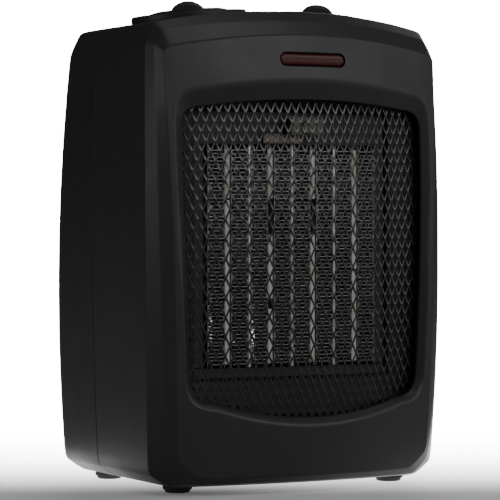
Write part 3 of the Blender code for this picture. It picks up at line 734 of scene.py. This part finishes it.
@dataclass
class Housing(Assembly):
    """Front and rear shells."""

    lamp_z: float = 215.2
    slot_radius: float = 3.7
    slot_reach: float = 15.0
    shaft_x: float = 37.6
    shaft_y: float = 0.5
    post_x: float = 73.0
    post_z: tuple[float, float] = (28.0, 208.0)
    gland: Flat = (-50.0, 24.0)

    def build(self) -> None:
        """Make both shells."""
        self.place(self.front_shell(), BODY_PLASTIC, "front_housing")
        self.place(self.rear_shell(), REAR_PLASTIC, "rear_housing")

    def front_shell(self) -> bpy.types.Object:
        """Sides, top, bezel and the sunk frame round the outlet."""
        seam = FORM.seam - FORM.gap / 2
        wall = FORM.wall
        stack = [
            (laid(FORM.body_line(), seam), 0.45),
            (laid(FORM.body_line(), FORM.shoulder), 0.7),
            (laid(FORM.crease_line(), FORM.crease), 0.8),
            (laid(FORM.face_line(), FORM.face), 0.9),
            (laid(FORM.recess_line(), FORM.face), 2.2),
            (laid(FORM.outlet_line(), behind(FORM.face, FORM.recess)), 1.0),
            (laid(FORM.outlet_line(0.4), behind(FORM.face, FORM.recess + wall)), 0.0),
            (laid(FORM.recess_line(1.8), behind(FORM.face, wall + 0.6)), 0.0),
            (laid(FORM.face_line(1.8), behind(FORM.face, wall + 0.6)), 0.0),
            (laid(FORM.crease_line(wall), behind(FORM.crease, wall)), 0.0),
            (laid(FORM.body_line(wall), behind(FORM.shoulder, 1.0)), 0.0),
            (laid(FORM.body_line(wall), seam), 0.0),
        ]
        shell = skin("front_shell", filleted(stack), True)
        face = FORM.face(0, self.lamp_z)
        combine(shell, self.slot_tool(face - 8.0, face + 8.0), "DIFFERENCE")
        for side in Side:
            place = Matrix.Translation((side.value * self.shaft_x, self.shaft_y, 0))
            combine(shell, rod("hole", 225, 250, 4.2, place, 32), "DIFFERENCE")
        return smooth(shell)

    def slot_tool(self, low: float, high: float) -> bpy.types.Object:
        """Rounded bar that cuts the lens slot."""
        line = pill_line(self.slot_radius, self.slot_reach, self.lamp_z, 0.0)
        return skin("slot", [laid(line, low), laid(line, high)], False)

    def rear_shell(self) -> bpy.types.Object:
        """Back with the air intake, screw seats and cord inlet."""
        seam = FORM.seam + FORM.gap / 2
        wall = FORM.wall
        stack = [
            (laid(FORM.body_line(), seam), 0.45),
            (laid(FORM.body_line(), behind(FORM.back, -4.5)), 2.0),
            (laid(FORM.body_line(1.0), behind(FORM.back, -1.4)), 1.4),
            (laid(FORM.body_line(3.6), FORM.back), 1.4),
            (laid(FORM.intake_line(), FORM.back), 0.9),
            (laid(FORM.intake_line(), behind(FORM.back, -wall)), 0.0),
            (laid(FORM.body_line(4.6), behind(FORM.back, -wall)), 0.0),
            (laid(FORM.body_line(wall), behind(FORM.back, -4.8)), 0.0),
            (laid(FORM.body_line(wall), seam), 0.0),
        ]
        shell = skin("rear_shell", filleted(stack), True)
        for side in Side:
            for z in self.post_z:
                x = side.value * self.post_x
                face = FORM.back(x, z)
                combine(shell, rod("hole", face - 8.0, face + 4.0, 2.2, along_y(x, z), 24), "DIFFERENCE")
                combine(shell, rod("seat", face - 0.9, face + 4.0, 4.4, along_y(x, z), 36), "DIFFERENCE")
        x, z = self.gland
        face = FORM.back(x, z)
        combine(shell, rod("inlet", face - 8.0, face + 6.0, 6.3, along_y(x, z), 36), "DIFFERENCE")
        return smooth(shell)


@dataclass
class Screen(Assembly):
    """Expanded metal screen bowed behind the outlet."""

    half: float = 73.0
    low: float = 30.0
    high: float = 203.5
    columns: int = 32
    rows: int = 18
    strand: float = 0.4
    drop: float = 0.4
    lower_tilt: float = 0.05
    side_tilt: float = -0.03
    upper_tilt: float = 0.3
    thick: float = 0.5
    setback: float = 7.6
    roll: float = 2.4
    flat_half: float = 62.0
    flat_low: float = 43.5
    flat_high: float = 190.0

    def build(self) -> None:
        """Make the screen."""
        self.place(self.sheet(), SCREEN_METAL, "outlet_grille")

    def depth(self, x: float, z: float) -> float:
        """Depth of the sheet, which rolls back at its rim."""
        beside = max(0.0, (abs(x) - self.flat_half) / (self.half - self.flat_half))
        above = max(0.0, (z - self.flat_high) / (self.high - self.flat_high))
        below = max(0.0, (self.flat_low - z) / (self.flat_low - self.low))
        return FORM.face(x, z) + self.setback + self.roll * (beside ** 2 + above ** 2 + below ** 2)

    def sheet(self) -> bpy.types.Object:
        """Slit and stretched sheet with every strand twisted a little."""
        dx = self.half / self.columns
        dz = (self.high - self.low) / (2 * self.rows)
        flat: list[Point] = []
        seen: dict[tuple[int, int], int] = {}
        panels: list[tuple[int, ...]] = []

        def corner(i: int, j: int) -> int:
            """Number of the pattern's point, which is made when first asked for."""
            if (i, j) not in seen:
                seen[(i, j)] = len(flat)
                flat.append((-self.half + dx * i, 0.0, self.low + dz * j))
            return seen[(i, j)]

        for i in range(2 * self.columns + 1):
            for j in range(2 * self.rows + 1):
                if (i + j) % 2 == 0:
                    continue
                around = [(i - 1, j), (i, j - 1), (i + 1, j), (i, j + 1)]
                inside = [(a, b) for a, b in around if 0 <= a <= 2 * self.columns and 0 <= b <= 2 * self.rows]
                outer = [corner(a, b) for a, b in inside]
                inner = self.opening([flat[c] for c in outer], [b - j for _, b in inside])
                start = len(flat)
                flat.extend(inner)
                for k in range(len(outer)):
                    n = (k + 1) % len(outer)
                    panels.append((outer[k], outer[n], start + n, start + k))
        return self.thickened(flat, panels)

    def opening(self, ring: list[Point], levels: list[int]) -> list[Point]:
        """Corners of one opening, set back from the ridge of the strands round it.

        Args:
            ring: Corners of the cell.
            levels: +1 for the top corner, -1 for the bottom corner, else 0.

        Returns:
            Corners of the opening.
        """
        count = len(ring)
        spans = [math.dist(ring[(k + 1) % count], ring[(k + 2) % count]) for k in range(count)]
        if count == 4:
            spans = [1.0] * 4
        total = sum(spans)
        mx = sum(s * p[0] for s, p in zip(spans, ring)) / total
        mz = sum(s * p[2] for s, p in zip(spans, ring)) / total
        (ax, _, az), (bx, _, bz) = ring[0], ring[1]
        reach = abs((bx - ax) * (mz - az) - (bz - az) * (mx - ax)) / math.hypot(bx - ax, bz - az)
        keep = 1.0 - self.strand / reach
        tilt = {1: self.upper_tilt, 0: self.side_tilt, -1: self.lower_tilt}
        return [(mx + (x - mx) * keep, tilt[level], mz + (z - mz) * keep - self.drop)
                for (x, _, z), level in zip(ring, levels)]

    def thickened(self, flat: list[Point], panels: list[tuple[int, ...]]) -> bpy.types.Object:
        """Bow the flat pattern and give it its thickness."""
        count = len(flat)
        points = [(x, self.depth(x, z) + y, z) for x, y, z in flat]
        points += [(x, y + self.thick, z) for x, y, z in points]
        faces: list[tuple[int, ...]] = []
        uses: dict[frozenset[int], list[tuple[int, int]]] = {}
        for panel in panels:
            faces.append(panel)
            faces.append(tuple(count + v for v in reversed(panel)))
            for a, b in zip(panel, panel[1:] + panel[:1]):
                uses.setdefault(frozenset((a, b)), []).append((a, b))
        for pair in uses.values():
            if len(pair) == 1:
                a, b = pair[0]
                faces.append((a, count + a, count + b, b))
        return new_piece("mesh_screen", points, faces)


@dataclass
class AirDuct(Assembly):
    """Funnel from the heater block to the outlet."""

    mouth: tuple[float, float, float] = (74.0, 29.5, 204.5)
    throat: tuple[float, float, float] = (55.0, 56.0, 190.0)
    wall: float = 1.6
    back: float = -6.0
    setback: float = 10.6
    lead_hole: Flat = (-18.0, -17.5)

    def build(self) -> None:
        """Make the funnel."""
        self.place(self.funnel(), DUCT_PLASTIC, "outlet_duct")

    def rect(self, size: tuple[float, float, float], grow: float, radius: float,
             depth: float | Depth) -> list[Point]:
        """Rounded rectangle at a depth."""
        half, low, high = size[0] + grow, size[1] - grow, size[2] + grow
        line: list[Flat] = []
        corners = [(half, low, 1, -1, -math.pi / 2), (half, high, 1, 1, 0.0),
                   (-half, high, -1, 1, math.pi / 2), (-half, low, -1, -1, math.pi)]
        for k, (x, z, sx, sz, turn) in enumerate(corners):
            cx, cz = x - sx * radius, z - sz * radius
            for s in range(6):
                angle = turn + math.pi / 2 * s / 5
                line.append((cx + radius * math.cos(angle), cz + radius * math.sin(angle)))
            nx, nz, ox, oz, following = corners[(k + 1) % 4]
            start = line[-1]
            end = (nx - ox * radius + radius * math.cos(following), nz - oz * radius + radius * math.sin(following))
            for s in range(1, 14):
                line.append(tuple(a + (b - a) * s / 14 for a, b in zip(start, end)))
        return laid(line, depth)

    def funnel(self) -> bpy.types.Object:
        """Flared mouth, short throat and the wall behind them."""
        wall = self.wall
        lip = behind(FORM.face, self.setback)
        stack = [
            (self.rect(self.mouth, 0.0, 3.0, lip), 0.0),
            (self.rect(self.throat, 1.0, 1.6, -41.5), 1.0),
            (self.rect(self.throat, 0.0, 1.2, -39.5), 0.8),
            (self.rect(self.throat, 0.0, 1.2, self.back), 0.0),
            (self.rect(self.throat, wall, 2.0, self.back), 0.0),
            (self.rect(self.throat, wall, 2.0, -38.0), 0.0),
            (self.rect(self.throat, wall + 2.0, 2.4, -39.6), 0.0),
            (self.rect(self.mouth, 0.0, 3.0, behind(lip, wall + 0.6)), 0.0),
        ]
        duct = skin("air_duct", filleted(stack), True)
        place = Matrix.Translation((*self.lead_hole, 0))
        combine(duct, rod("lead_hole", 186.0, 196.0, 3.0, place, 20), "DIFFERENCE")
        return smooth(duct, 28.0)


@dataclass
class HeaterBlock(Assembly):
    """Ceramic stones, folded fins and contact strips held in their frames."""

    module: float = 24.4
    low: float = 61.3
    high: float = 173.3
    front: float = -41.0
    back: float = -27.0
    channel: float = 3.0
    sheet: float = 0.3
    cover: float = 0.32
    legs: int = 59
    jitter: float = 0.12
    slack: float = 0.16
    stones: dict[int, tuple[Flat, ...]] = field(default_factory=lambda: {
        1: ((146.4, 171.3), (63.3, 145.4)),
        2: ((146.2, 171.3), (95.6, 128.0), (63.3, 90.6)),
        3: ((146.2, 171.3), (63.3, 128.0)),
        4: ((110.3, 171.3), (63.3, 109.3)),
    })

    def build(self) -> None:
        """Make the stack and dress its holders."""
        for m in range(4):
            centre = self.module * (m - 1.5)
            self.place(self.stone_row(m + 1, centre), STONE, f"ptc_tube_{m + 1}")
            for side in Side:
                number = 2 * m + (2 if side is Side.RIGHT else 1)
                inner = centre + side.value * (self.channel / 2 + 0.25)
                outer = centre + side.value * (self.module / 2 - 0.7)
                self.place(self.fin(number, min(inner, outer), max(inner, outer), side), FIN_METAL,
                           f"fin_column_{number}")
        for number in range(1, 4):
            self.keep(f"contact_strip_{number}", STRIP_METAL)
        for node in ("heater_frame_bottom", "heater_frame_top", "side_rail_left", "side_rail_right"):
            self.keep(node, FRAME_PLASTIC)

    def stone_row(self, number: int, centre: float) -> bpy.types.Object:
        """Ceramic stones of one channel with the gaps between them."""
        half = self.channel / 2 - 0.2
        blocks = [soft_block("stone", (centre - half, self.front + 0.7, z0), (centre + half, self.back - 0.7, z1), 0.25)
                  for z0, z1 in self.stones[number]]
        return smooth(merged(f"ceramic_bar_{number}", blocks))

    def fin(self, number: int, left: float, right: float, side: Side) -> bpy.types.Object:
        """Folded fin between its two cover strips."""
        height = self.high - self.low - 1.4
        rise = height / (self.legs + 1)
        radius = rise / 2
        cover = self.cover
        x0, x1 = left + cover, right - cover
        chance = random.Random(100 + number)
        path: list[Flat] = []
        for k in range(self.legs):
            z = self.low + 0.7 + rise * (k + 0.75) + chance.uniform(-self.jitter, self.jitter)
            ahead = k % 2 == 0
            start, end = (x0 + radius, x1 - radius) if ahead else (x1 - radius, x0 + radius)
            sag = chance.uniform(-self.slack, self.slack)
            for s in range(6):
                t = s / 5
                path.append((start + (end - start) * t, z + sag * math.sin(math.pi * t)))
            if k < self.legs - 1:
                lean = 1 if ahead else -1
                for turn in (-0.6, 0.0, 0.6):
                    path.append((end + lean * (radius - self.sheet / 2) * math.cos(turn * 1.3),
                                 z + rise / 2 + rise / 2 * math.sin(turn * 1.3)))
        ribbon = self.ribbon(f"fin_{number}", path)
        covers = [soft_block("cover", (x, self.front + 0.1, self.low + 0.3),
                             (x + cover, self.back - 0.1, self.high - 0.3), 0.08, 1)
                  for x in (left, right - cover)]
        if side is Side.RIGHT:
            reach = left - 0.1
            covers.append(soft_block("web", (reach - self.channel, self.back - 0.5, self.low + 0.4),
                                     (reach, self.back - 0.15, self.high - 0.4), 0.08, 1))
        return smooth(merged(f"fin_pack_{number}", [ribbon, *covers]), 50.0)

    def ribbon(self, name: str, path: list[Flat]) -> bpy.types.Object:
        """Thin sheet that follows a path and fills the depth of the block."""
        rings = []
        for k, (x, z) in enumerate(path):
            ax, az = path[max(0, k - 1)]
            bx, bz = path[min(len(path) - 1, k + 1)]
            length = math.hypot(bx - ax, bz - az) or 1.0
            nx, nz = -(bz - az) / length * self.sheet / 2, (bx - ax) / length * self.sheet / 2
            rings.append([(x - nx, self.front + 0.2, z - nz), (x + nx, self.front + 0.2, z + nz),
                          (x + nx, self.back - 0.2, z + nz), (x - nx, self.back - 0.2, z - nz)])
        return skin(name, rings, False)


@dataclass
class ThermalCutout(Assembly):
    """Overheat cut-out and its bracket above the block."""

    low: float = 173.3

    def build(self) -> None:
        """Make the bracket and the cut-out."""
        bracket = soft_block("cutout_arm", (-16.5, -40.6, self.low + 0.5), (6.0, -39.0, self.low + 5.6), 0.3)
        combine(bracket, soft_block("arm", (-3.0, -40.6, self.low + 3.5), (16.0, -39.0, self.low + 14.6), 0.3), "UNION")
        self.place(smooth(bracket), BRASSY, "cutout_bracket")
        can = soft_block("cutout_can", (-3.6, -46.2, self.low + 4.6), (15.6, -40.9, self.low + 13.4), 0.5)
        profile = [(0, -47.6), (3.2, -47.6), (3.6, -47.2), (3.6, -46.0), (0, -46.0)]
        combine(can, turned("cap", profile, along_y(6.0, self.low + 9.0), 32), "UNION")
        self.place(smooth(can), CUTOUT_METAL, "thermal_cutout")


@dataclass
class Fan(Assembly):
    """Fan plate, motor and bracket; the impeller turns on its own body."""

    def build(self) -> None:
        """Dress the pieces of the fan."""
        for node, finish in (("fan_plate", FRAME_PLASTIC), ("fan_motor", MOTOR_METAL),
                             ("motor_bracket", STEEL), ("fan_impeller", FAN_PLASTIC)):
            self.keep(node, finish)


@dataclass
class Control(Assembly):
    """One control: dial plate and switch body in the housing, knob on its shaft."""

    side: Side = Side.LEFT
    dial: str = "power_dial"
    knob: str = "power_knob"
    switch: str = "power_switch"
    switch_finish: Finish = SWITCH_PLASTIC
    offset: float = 37.6
    depth: float = 0.5
    dial_radius: float = 29.5
    knob_radius: float = 20.5
    rest_turn: float = -30.0

    def build(self) -> None:
        """Make the dial plate and knob and dress the switch body."""
        self.place(self.dial_plate(), DIAL_PLASTIC, self.dial)
        turning = Assembly(body=self.knob)
        turning.place(self.grip_knob(), KNOB_PLASTIC, self.knob)
        self.keep(self.switch, self.switch_finish)

    def frame(self) -> Matrix:
        """Local frame on the arched top, its Z axis along the shaft."""
        x = self.side.value * self.offset
        slope = math.atan(FORM.arch * 2.2 / 76.0 * (self.offset / 76.0) ** 1.2)
        return Matrix.Translation((x, self.depth, FORM.top(x))) @ Matrix.Rotation(self.side.value * slope, 4, "Y")

    def dial_plate(self) -> bpy.types.Object:
        """Round plate under the knob, its rim let down to the arched top."""
        r = self.dial_radius
        profile = [(3.9, 0.45), (r - 0.2, 0.45), (r, 0.65), (r, 1.85), (r - 0.15, 2.15), (r - 0.45, 2.38),
                   (r - 0.9, 2.45), (3.9, 2.45), (3.9, 0.45)]
        plate = turned(f"{self.dial}_plate", profile, self.frame(), 96)
        for vertex in plate.data.vertices:
            x = vertex.co.x / MM
            reach = math.hypot(x - self.side.value * self.offset, vertex.co.y / MM - SHIFT_Y - self.depth)
            under = (self.frame().inverted() @ Vector((x, vertex.co.y / MM - SHIFT_Y, vertex.co.z / MM))).z
            if reach > r - 1.0 and under < 0.7:
                vertex.co.z = (FORM.top(x) + 0.05 + (0.2 if under > 0.5 else 0.0)) * MM
        return smooth(plate)

    def grip_knob(self) -> bpy.types.Object:
        """Bevelled disc with a rounded grip across it, on its shaft."""
        r = self.knob_radius
        profile = [(0, -9.0), (2.7, -9.0), (3.0, -8.7), (3.0, 2.75), (r - 0.2, 2.75), (r, 2.9), (r, 3.05),
                   (r - 0.3, 3.25), (r - 3.6, 4.1), (r - 4.2, 4.2), (0, 4.2)]
        place = self.frame() @ Matrix.Rotation(math.radians(self.rest_turn), 4, "Z")
        knob = turned(f"{self.knob}_grip", profile, place, 96)
        combine(knob, self.hump(place), "UNION")
        return smooth(knob, 38.0)

    def hump(self, place: Matrix) -> bpy.types.Object:
        """Rounded bar that the fingers turn."""
        arc = []
        for k in range(21):
            turn = math.pi * k / 20
            arc.append((-8.3 * math.cos(turn), 3.4 + 5.0 * math.sin(turn) ** 1.15))
        rings = []
        for y, shrink in ((-17.6, 0.42), (-17.1, 0.66), (-16.0, 0.86), (-14.2, 0.96), (-12.0, 1.0), (-4.0, 1.0),
                          (4.0, 1.0), (12.0, 1.0), (14.2, 0.96), (16.0, 0.86), (17.1, 0.66), (17.6, 0.42)):
            ring = [(x * (0.55 + 0.45 * shrink), y, 3.4 + (z - 3.4) * shrink) for x, z in arc]
            rings.append([tuple(place @ Vector(point)) for point in ring])
        return skin("hump", rings, False)


@dataclass
class Indicator(Assembly):
    """Red lens in the bezel slot with the neon lamp behind it."""

    lamp_z: float = 215.2
    half: float = 18.2
    height: float = 5.6

    def build(self) -> None:
        """Make the lens and dress the lamp and its holder."""
        self.place(self.lens(), RED_LENS, "indicator_lens")
        self.keep("lamp_holder", HOLDER_PLASTIC)
        self.keep("indicator_lamp", AMBER_GLASS)

    def pill(self, inset: float, depth: float) -> list[Point]:
        """Outline of the lens with round ends."""
        end = self.height / 2
        return laid(pill_line(end - inset, self.half - end, self.lamp_z, 0.5), depth)

    def lens(self) -> bpy.types.Object:
        """Domed lens on the flange that holds it behind the bezel."""
        face = FORM.face(0, self.lamp_z)
        rings = [self.pill(1.6, face + 0.9), self.pill(0.8, face + 1.0), self.pill(0.3, face + 1.2),
                 self.pill(0.05, face + 1.5), self.pill(0.0, face + 1.9), self.pill(0.0, face + 4.8)]
        piece = skin("lens", rings, False)
        flange = soft_block("flange", (-self.half - 4.0, face + 4.4, self.lamp_z - 5.4),
                            (self.half + 4.0, face + 5.4, self.lamp_z + 5.4), 0.2, 2)
        combine(piece, flange, "UNION")
        return smooth(piece)


@dataclass
class RearFittings(Assembly):
    """Intake cover, feet, screws, cord inlet and leads."""

    feet: dict[str, Flat] = field(default_factory=lambda: {
        "left_front": (-61.2, -33.5), "right_front": (61.2, -33.5),
        "left_rear": (-62.0, 45.0), "right_rear": (62.0, 45.0)})

    def build(self) -> None:
        """Make and dress everything below and behind."""
        self.keep("intake_grille", REAR_PLASTIC)
        for name, (x, y) in self.feet.items():
            profile = [(0, 0.0), (5.2, 0.0), (5.7, 0.1), (6.2, 0.4), (6.5, 1.0), (6.6, 1.6), (7.1, 1.7),
                       (7.4, 1.95), (7.4, 3.3), (0, 3.3)]
            foot = turned(f"rubber_foot_{name}", profile, Matrix.Translation((x, y, 0)), 48)
            self.place(smooth(foot), FOOT_RUBBER, f"foot_{name}")
        for number in range(1, 5):
            self.keep(f"rear_screw_{number}", STEEL)
        for node, finish in (("cord_gland", GLAND_RUBBER), ("cord_clamp", FRAME_PLASTIC), ("lead_supply", LEAD_BROWN),
                             ("lead_heater", LEAD_WHITE), ("lead_thermostat", LEAD_BLUE)):
            self.keep(node, finish)


@dataclass
class Studio:
    """Pale floor, soft lights and the camera. Lengths here are metres."""

    azimuth: float = -28.0
    tilt: float = 0.69
    eye: Point = (-0.6258, -1.1735, 0.1358)
    lens: float = 184.1
    # Painted glow in the floor: its strength and the distances behind the heater over which it rises; eye_distance,
    # view_spread and beside_view give the wedge of floor that the camera sees, the only part that glows.
    glow: float = 17.0
    glow_start: float = -0.08
    glow_end: float = 0.34
    eye_distance: float = 1.33
    view_spread: float = 0.098
    beside_view: float = 1.12
    # shaded_share, shade_start and shade_end: the strip straight behind the heater where the painted glow is left out,
    # as painted shade.
    shaded_share: float = 0.68
    shade_start: float = 0.14
    shade_end: float = 0.2
    paper_distance: float = 2.2
    paper_high: float = 0.5
    paper_inner: float = 0.24
    paper_outer: float = 0.38
    paper_top: float = 0.37

    def build(self) -> None:
        """Set up everything that isn't the heater."""
        self.floor()
        self.backdrop()
        self.lights()
        self.world()
        self.camera()

    def heading(self) -> Vector:
        """Level direction in which the camera looks."""
        turn = math.radians(-self.azimuth)
        return Vector((math.sin(turn), math.cos(turn), 0.0))

    def sheet(self, name: str, corners: Sequence[Vector]) -> bpy.types.Object:
        """A flat sheet that is not part of the heater."""
        mesh = bpy.data.meshes.new(name)
        mesh.from_pydata([tuple(c) for c in corners], [], [tuple(range(len(corners)))])
        piece = bpy.data.objects.new(name, mesh)
        bpy.context.scene.collection.objects.link(piece)
        return piece

    def floor(self) -> None:
        """Pale floor with a painted glow behind the heater, only in the wedge that the camera sees, and painted shade
        in the strip straight behind the heater where the glow is left out.
        """
        ahead = self.heading()
        across = Vector((ahead.y, -ahead.x, 0.0))
        far_edge = self.paper_distance
        piece = self.sheet("floor", [ahead * a + across * b
                                     for a, b in ((-3, -3), (far_edge, -3), (far_edge, 3), (-3, 3))])
        mix = Recipe("floor_paper_painted_glow")
        mix.feed("Base Color", mix.ramp(mix.noise(3.0, 2.0), [(0.3, (0.62, 0.62, 0.62)), (0.7, (0.66, 0.66, 0.66))]))
        mix.set(Roughness=0.8, Specular_IOR_Level=0.1)
        mix.shader.inputs["Emission Color"].default_value = (1, 1, 1, 1)
        turned_to = mix.nodes.new("ShaderNodeMapping")
        turned_to.inputs["Rotation"].default_value = (0, 0, math.radians(-self.azimuth))
        mix.links.new(mix.coords, turned_to.inputs["Vector"])
        split = mix.nodes.new("ShaderNodeSeparateXYZ")
        mix.links.new(turned_to.outputs["Vector"], split.inputs["Vector"])
        # Painted glow: the floor emits light, rising with the distance behind the heater.
        far = mix.spread(split.outputs["Y"], 0.0, self.glow, self.glow_start, self.glow_end)
        far.node.interpolation_type = "SMOOTHSTEP"
        # The painted glow fades out beside the wedge of floor that the camera sees.
        wide = mix.math("ABSOLUTE", split.outputs["X"])
        reach = mix.math("MULTIPLY", mix.math("ADD", split.outputs["Y"], self.eye_distance), self.view_spread)
        share = mix.math("DIVIDE", wide, reach)
        near = mix.spread(share, 1.0, 0.0, 1.0, self.beside_view)
        # Painted shade: the strip straight behind the heater gets no painted glow.
        painted_shade_strip = mix.math("LESS_THAN", share, self.shaded_share)
        behind_heater = mix.spread(split.outputs["Y"], 0.0, 1.0, self.shade_start, self.shade_end)
        painted_shade_strip = mix.math("MULTIPLY", painted_shade_strip, behind_heater)
        lit = mix.math("SUBTRACT", near, painted_shade_strip)
        mix.feed("Emission Strength", mix.math("MULTIPLY", far, lit))
        piece.data.materials.append(mix.material)

    def backdrop(self) -> None:
        """Glowing paper beside and above the heater, no wider than the camera sees."""
        ahead = self.heading()
        across = Vector((ahead.y, -ahead.x, 0.0))
        foot = ahead * self.paper_distance
        up = Vector((0, 0, 1))
        paper = self.backdrop_paper()
        inner, outer, high = self.paper_inner, self.paper_outer, self.paper_high
        for name, left, right, low in (("left", -outer, -inner, 0.0), ("right", inner, outer, 0.0),
                                       ("top", -inner, inner, self.paper_top)):
            corners = [foot + across * x + up * z for x, z in ((left, low), (right, low), (right, high), (left, high))]
            piece = self.sheet(f"backdrop_{name}", corners)
            piece.data.materials.append(paper)

    def backdrop_paper(self) -> bpy.types.Material:
        """Glowing white paper."""
        mix = Recipe("backdrop_paper")
        mix.feed("Base Color", mix.ramp(mix.noise(2.0, 2.0), [(0.3, (0.78, 0.78, 0.78)), (0.7, (0.8, 0.8, 0.8))]))
        mix.set(Emission_Strength=18.0, Roughness=0.9)
        mix.shader.inputs["Emission Color"].default_value = (1, 1, 1, 1)
        return mix.material

    def lamp(self, name: str, place: Point, aim: Point, size: Flat, power: float) -> None:
        """One soft rectangular light.

        Args:
            name: Name of the light.
            place: Where it hangs.
            aim: Point that it faces.
            size: Width and height.
            power: Output in watts.
        """
        data = bpy.data.lights.new(name, "AREA")
        data.shape = "RECTANGLE"
        data.size, data.size_y = size
        data.energy = power
        light = bpy.data.objects.new(name, data)
        light.location = place
        light.rotation_euler = (Vector(aim) - Vector(place)).to_track_quat("-Z", "Y").to_euler()
        bpy.context.scene.collection.objects.link(light)

    def lights(self) -> None:
        """Large key above the front, low fill and a light for the back."""
        self.lamp("key", (0.42, -1.42, 0.6), (0, 0, 0.13), (1.3, 0.32), 5.6)
        self.lamp("top", (0.1, -0.2, 1.5), (0, 0, 0.1), (0.9, 0.7), 2.6)
        self.lamp("left", (-1.25, 0.06, 0.46), (0, 0, 0.16), (0.5, 0.55), 2.4)
        self.lamp("right", (1.25, -0.95, 0.35), (0, 0, 0.16), (0.4, 0.6), 1.6)
        self.lamp("back", (1.2, 1.3, 0.8), (0, 0, 0.12), (0.9, 0.7), 4.0)

    def world(self) -> None:
        """Dim surroundings, brighter in front of the heater."""
        world = bpy.data.worlds.new("surroundings")
        bpy.context.scene.world = world
        world.use_nodes = True
        nodes = world.node_tree.nodes
        links = world.node_tree.links
        around = nodes.new("ShaderNodeTexCoord")
        facing = nodes.new("ShaderNodeVectorMath")
        facing.operation = "DOT_PRODUCT"
        facing.inputs[1].default_value = Vector((0.15, -0.93, 0.33))
        links.new(around.outputs["Generated"], facing.inputs[0])
        level = nodes.new("ShaderNodeMapRange")
        level.interpolation_type = "SMOOTHSTEP"
        for socket, value in (("From Min", -0.3), ("From Max", 0.8), ("To Min", 0.05), ("To Max", 0.36)):
            level.inputs[socket].default_value = value
        links.new(facing.outputs["Value"], level.inputs["Value"])
        links.new(level.outputs["Result"], nodes["Background"].inputs["Strength"])
        nodes["Background"].inputs["Color"].default_value = (1, 1, 1, 1)

    def camera(self) -> None:
        """Camera a little left of the front, level with the outlet."""
        data = bpy.data.cameras.new("camera")
        data.lens = self.lens
        data.sensor_width = 36.0
        data.clip_start = 0.05
        data.clip_end = 20.0
        camera = bpy.data.objects.new("camera", data)
        camera.location = self.eye
        look = self.heading() * math.cos(math.radians(self.tilt)) - Vector((0, 0, math.sin(math.radians(self.tilt))))
        camera.rotation_euler = look.to_track_quat("-Z", "Y").to_euler()
        bpy.context.scene.collection.objects.link(camera)
        bpy.context.scene.camera = camera


def main() -> None:
    """Build every sub-assembly in order."""
    logging.basicConfig(level=logging.INFO, format="%(name)s: %(message)s")
    groups: list[Assembly] = [
        Housing(),
        Screen(),
        AirDuct(),
        HeaterBlock(),
        ThermalCutout(),
        Fan(),
        Control(side=Side.LEFT),
        Control(side=Side.RIGHT, dial="thermostat_dial", knob="thermostat_knob", switch="thermostat",
                switch_finish=PHENOLIC),
        Indicator(),
        RearFittings(),
    ]
    for group in groups:
        group.build()
        LOG.info("%s: %d pieces", type(group).__name__, len(group.pieces))
    Studio().build()


if __name__ == "__main__":
    main()
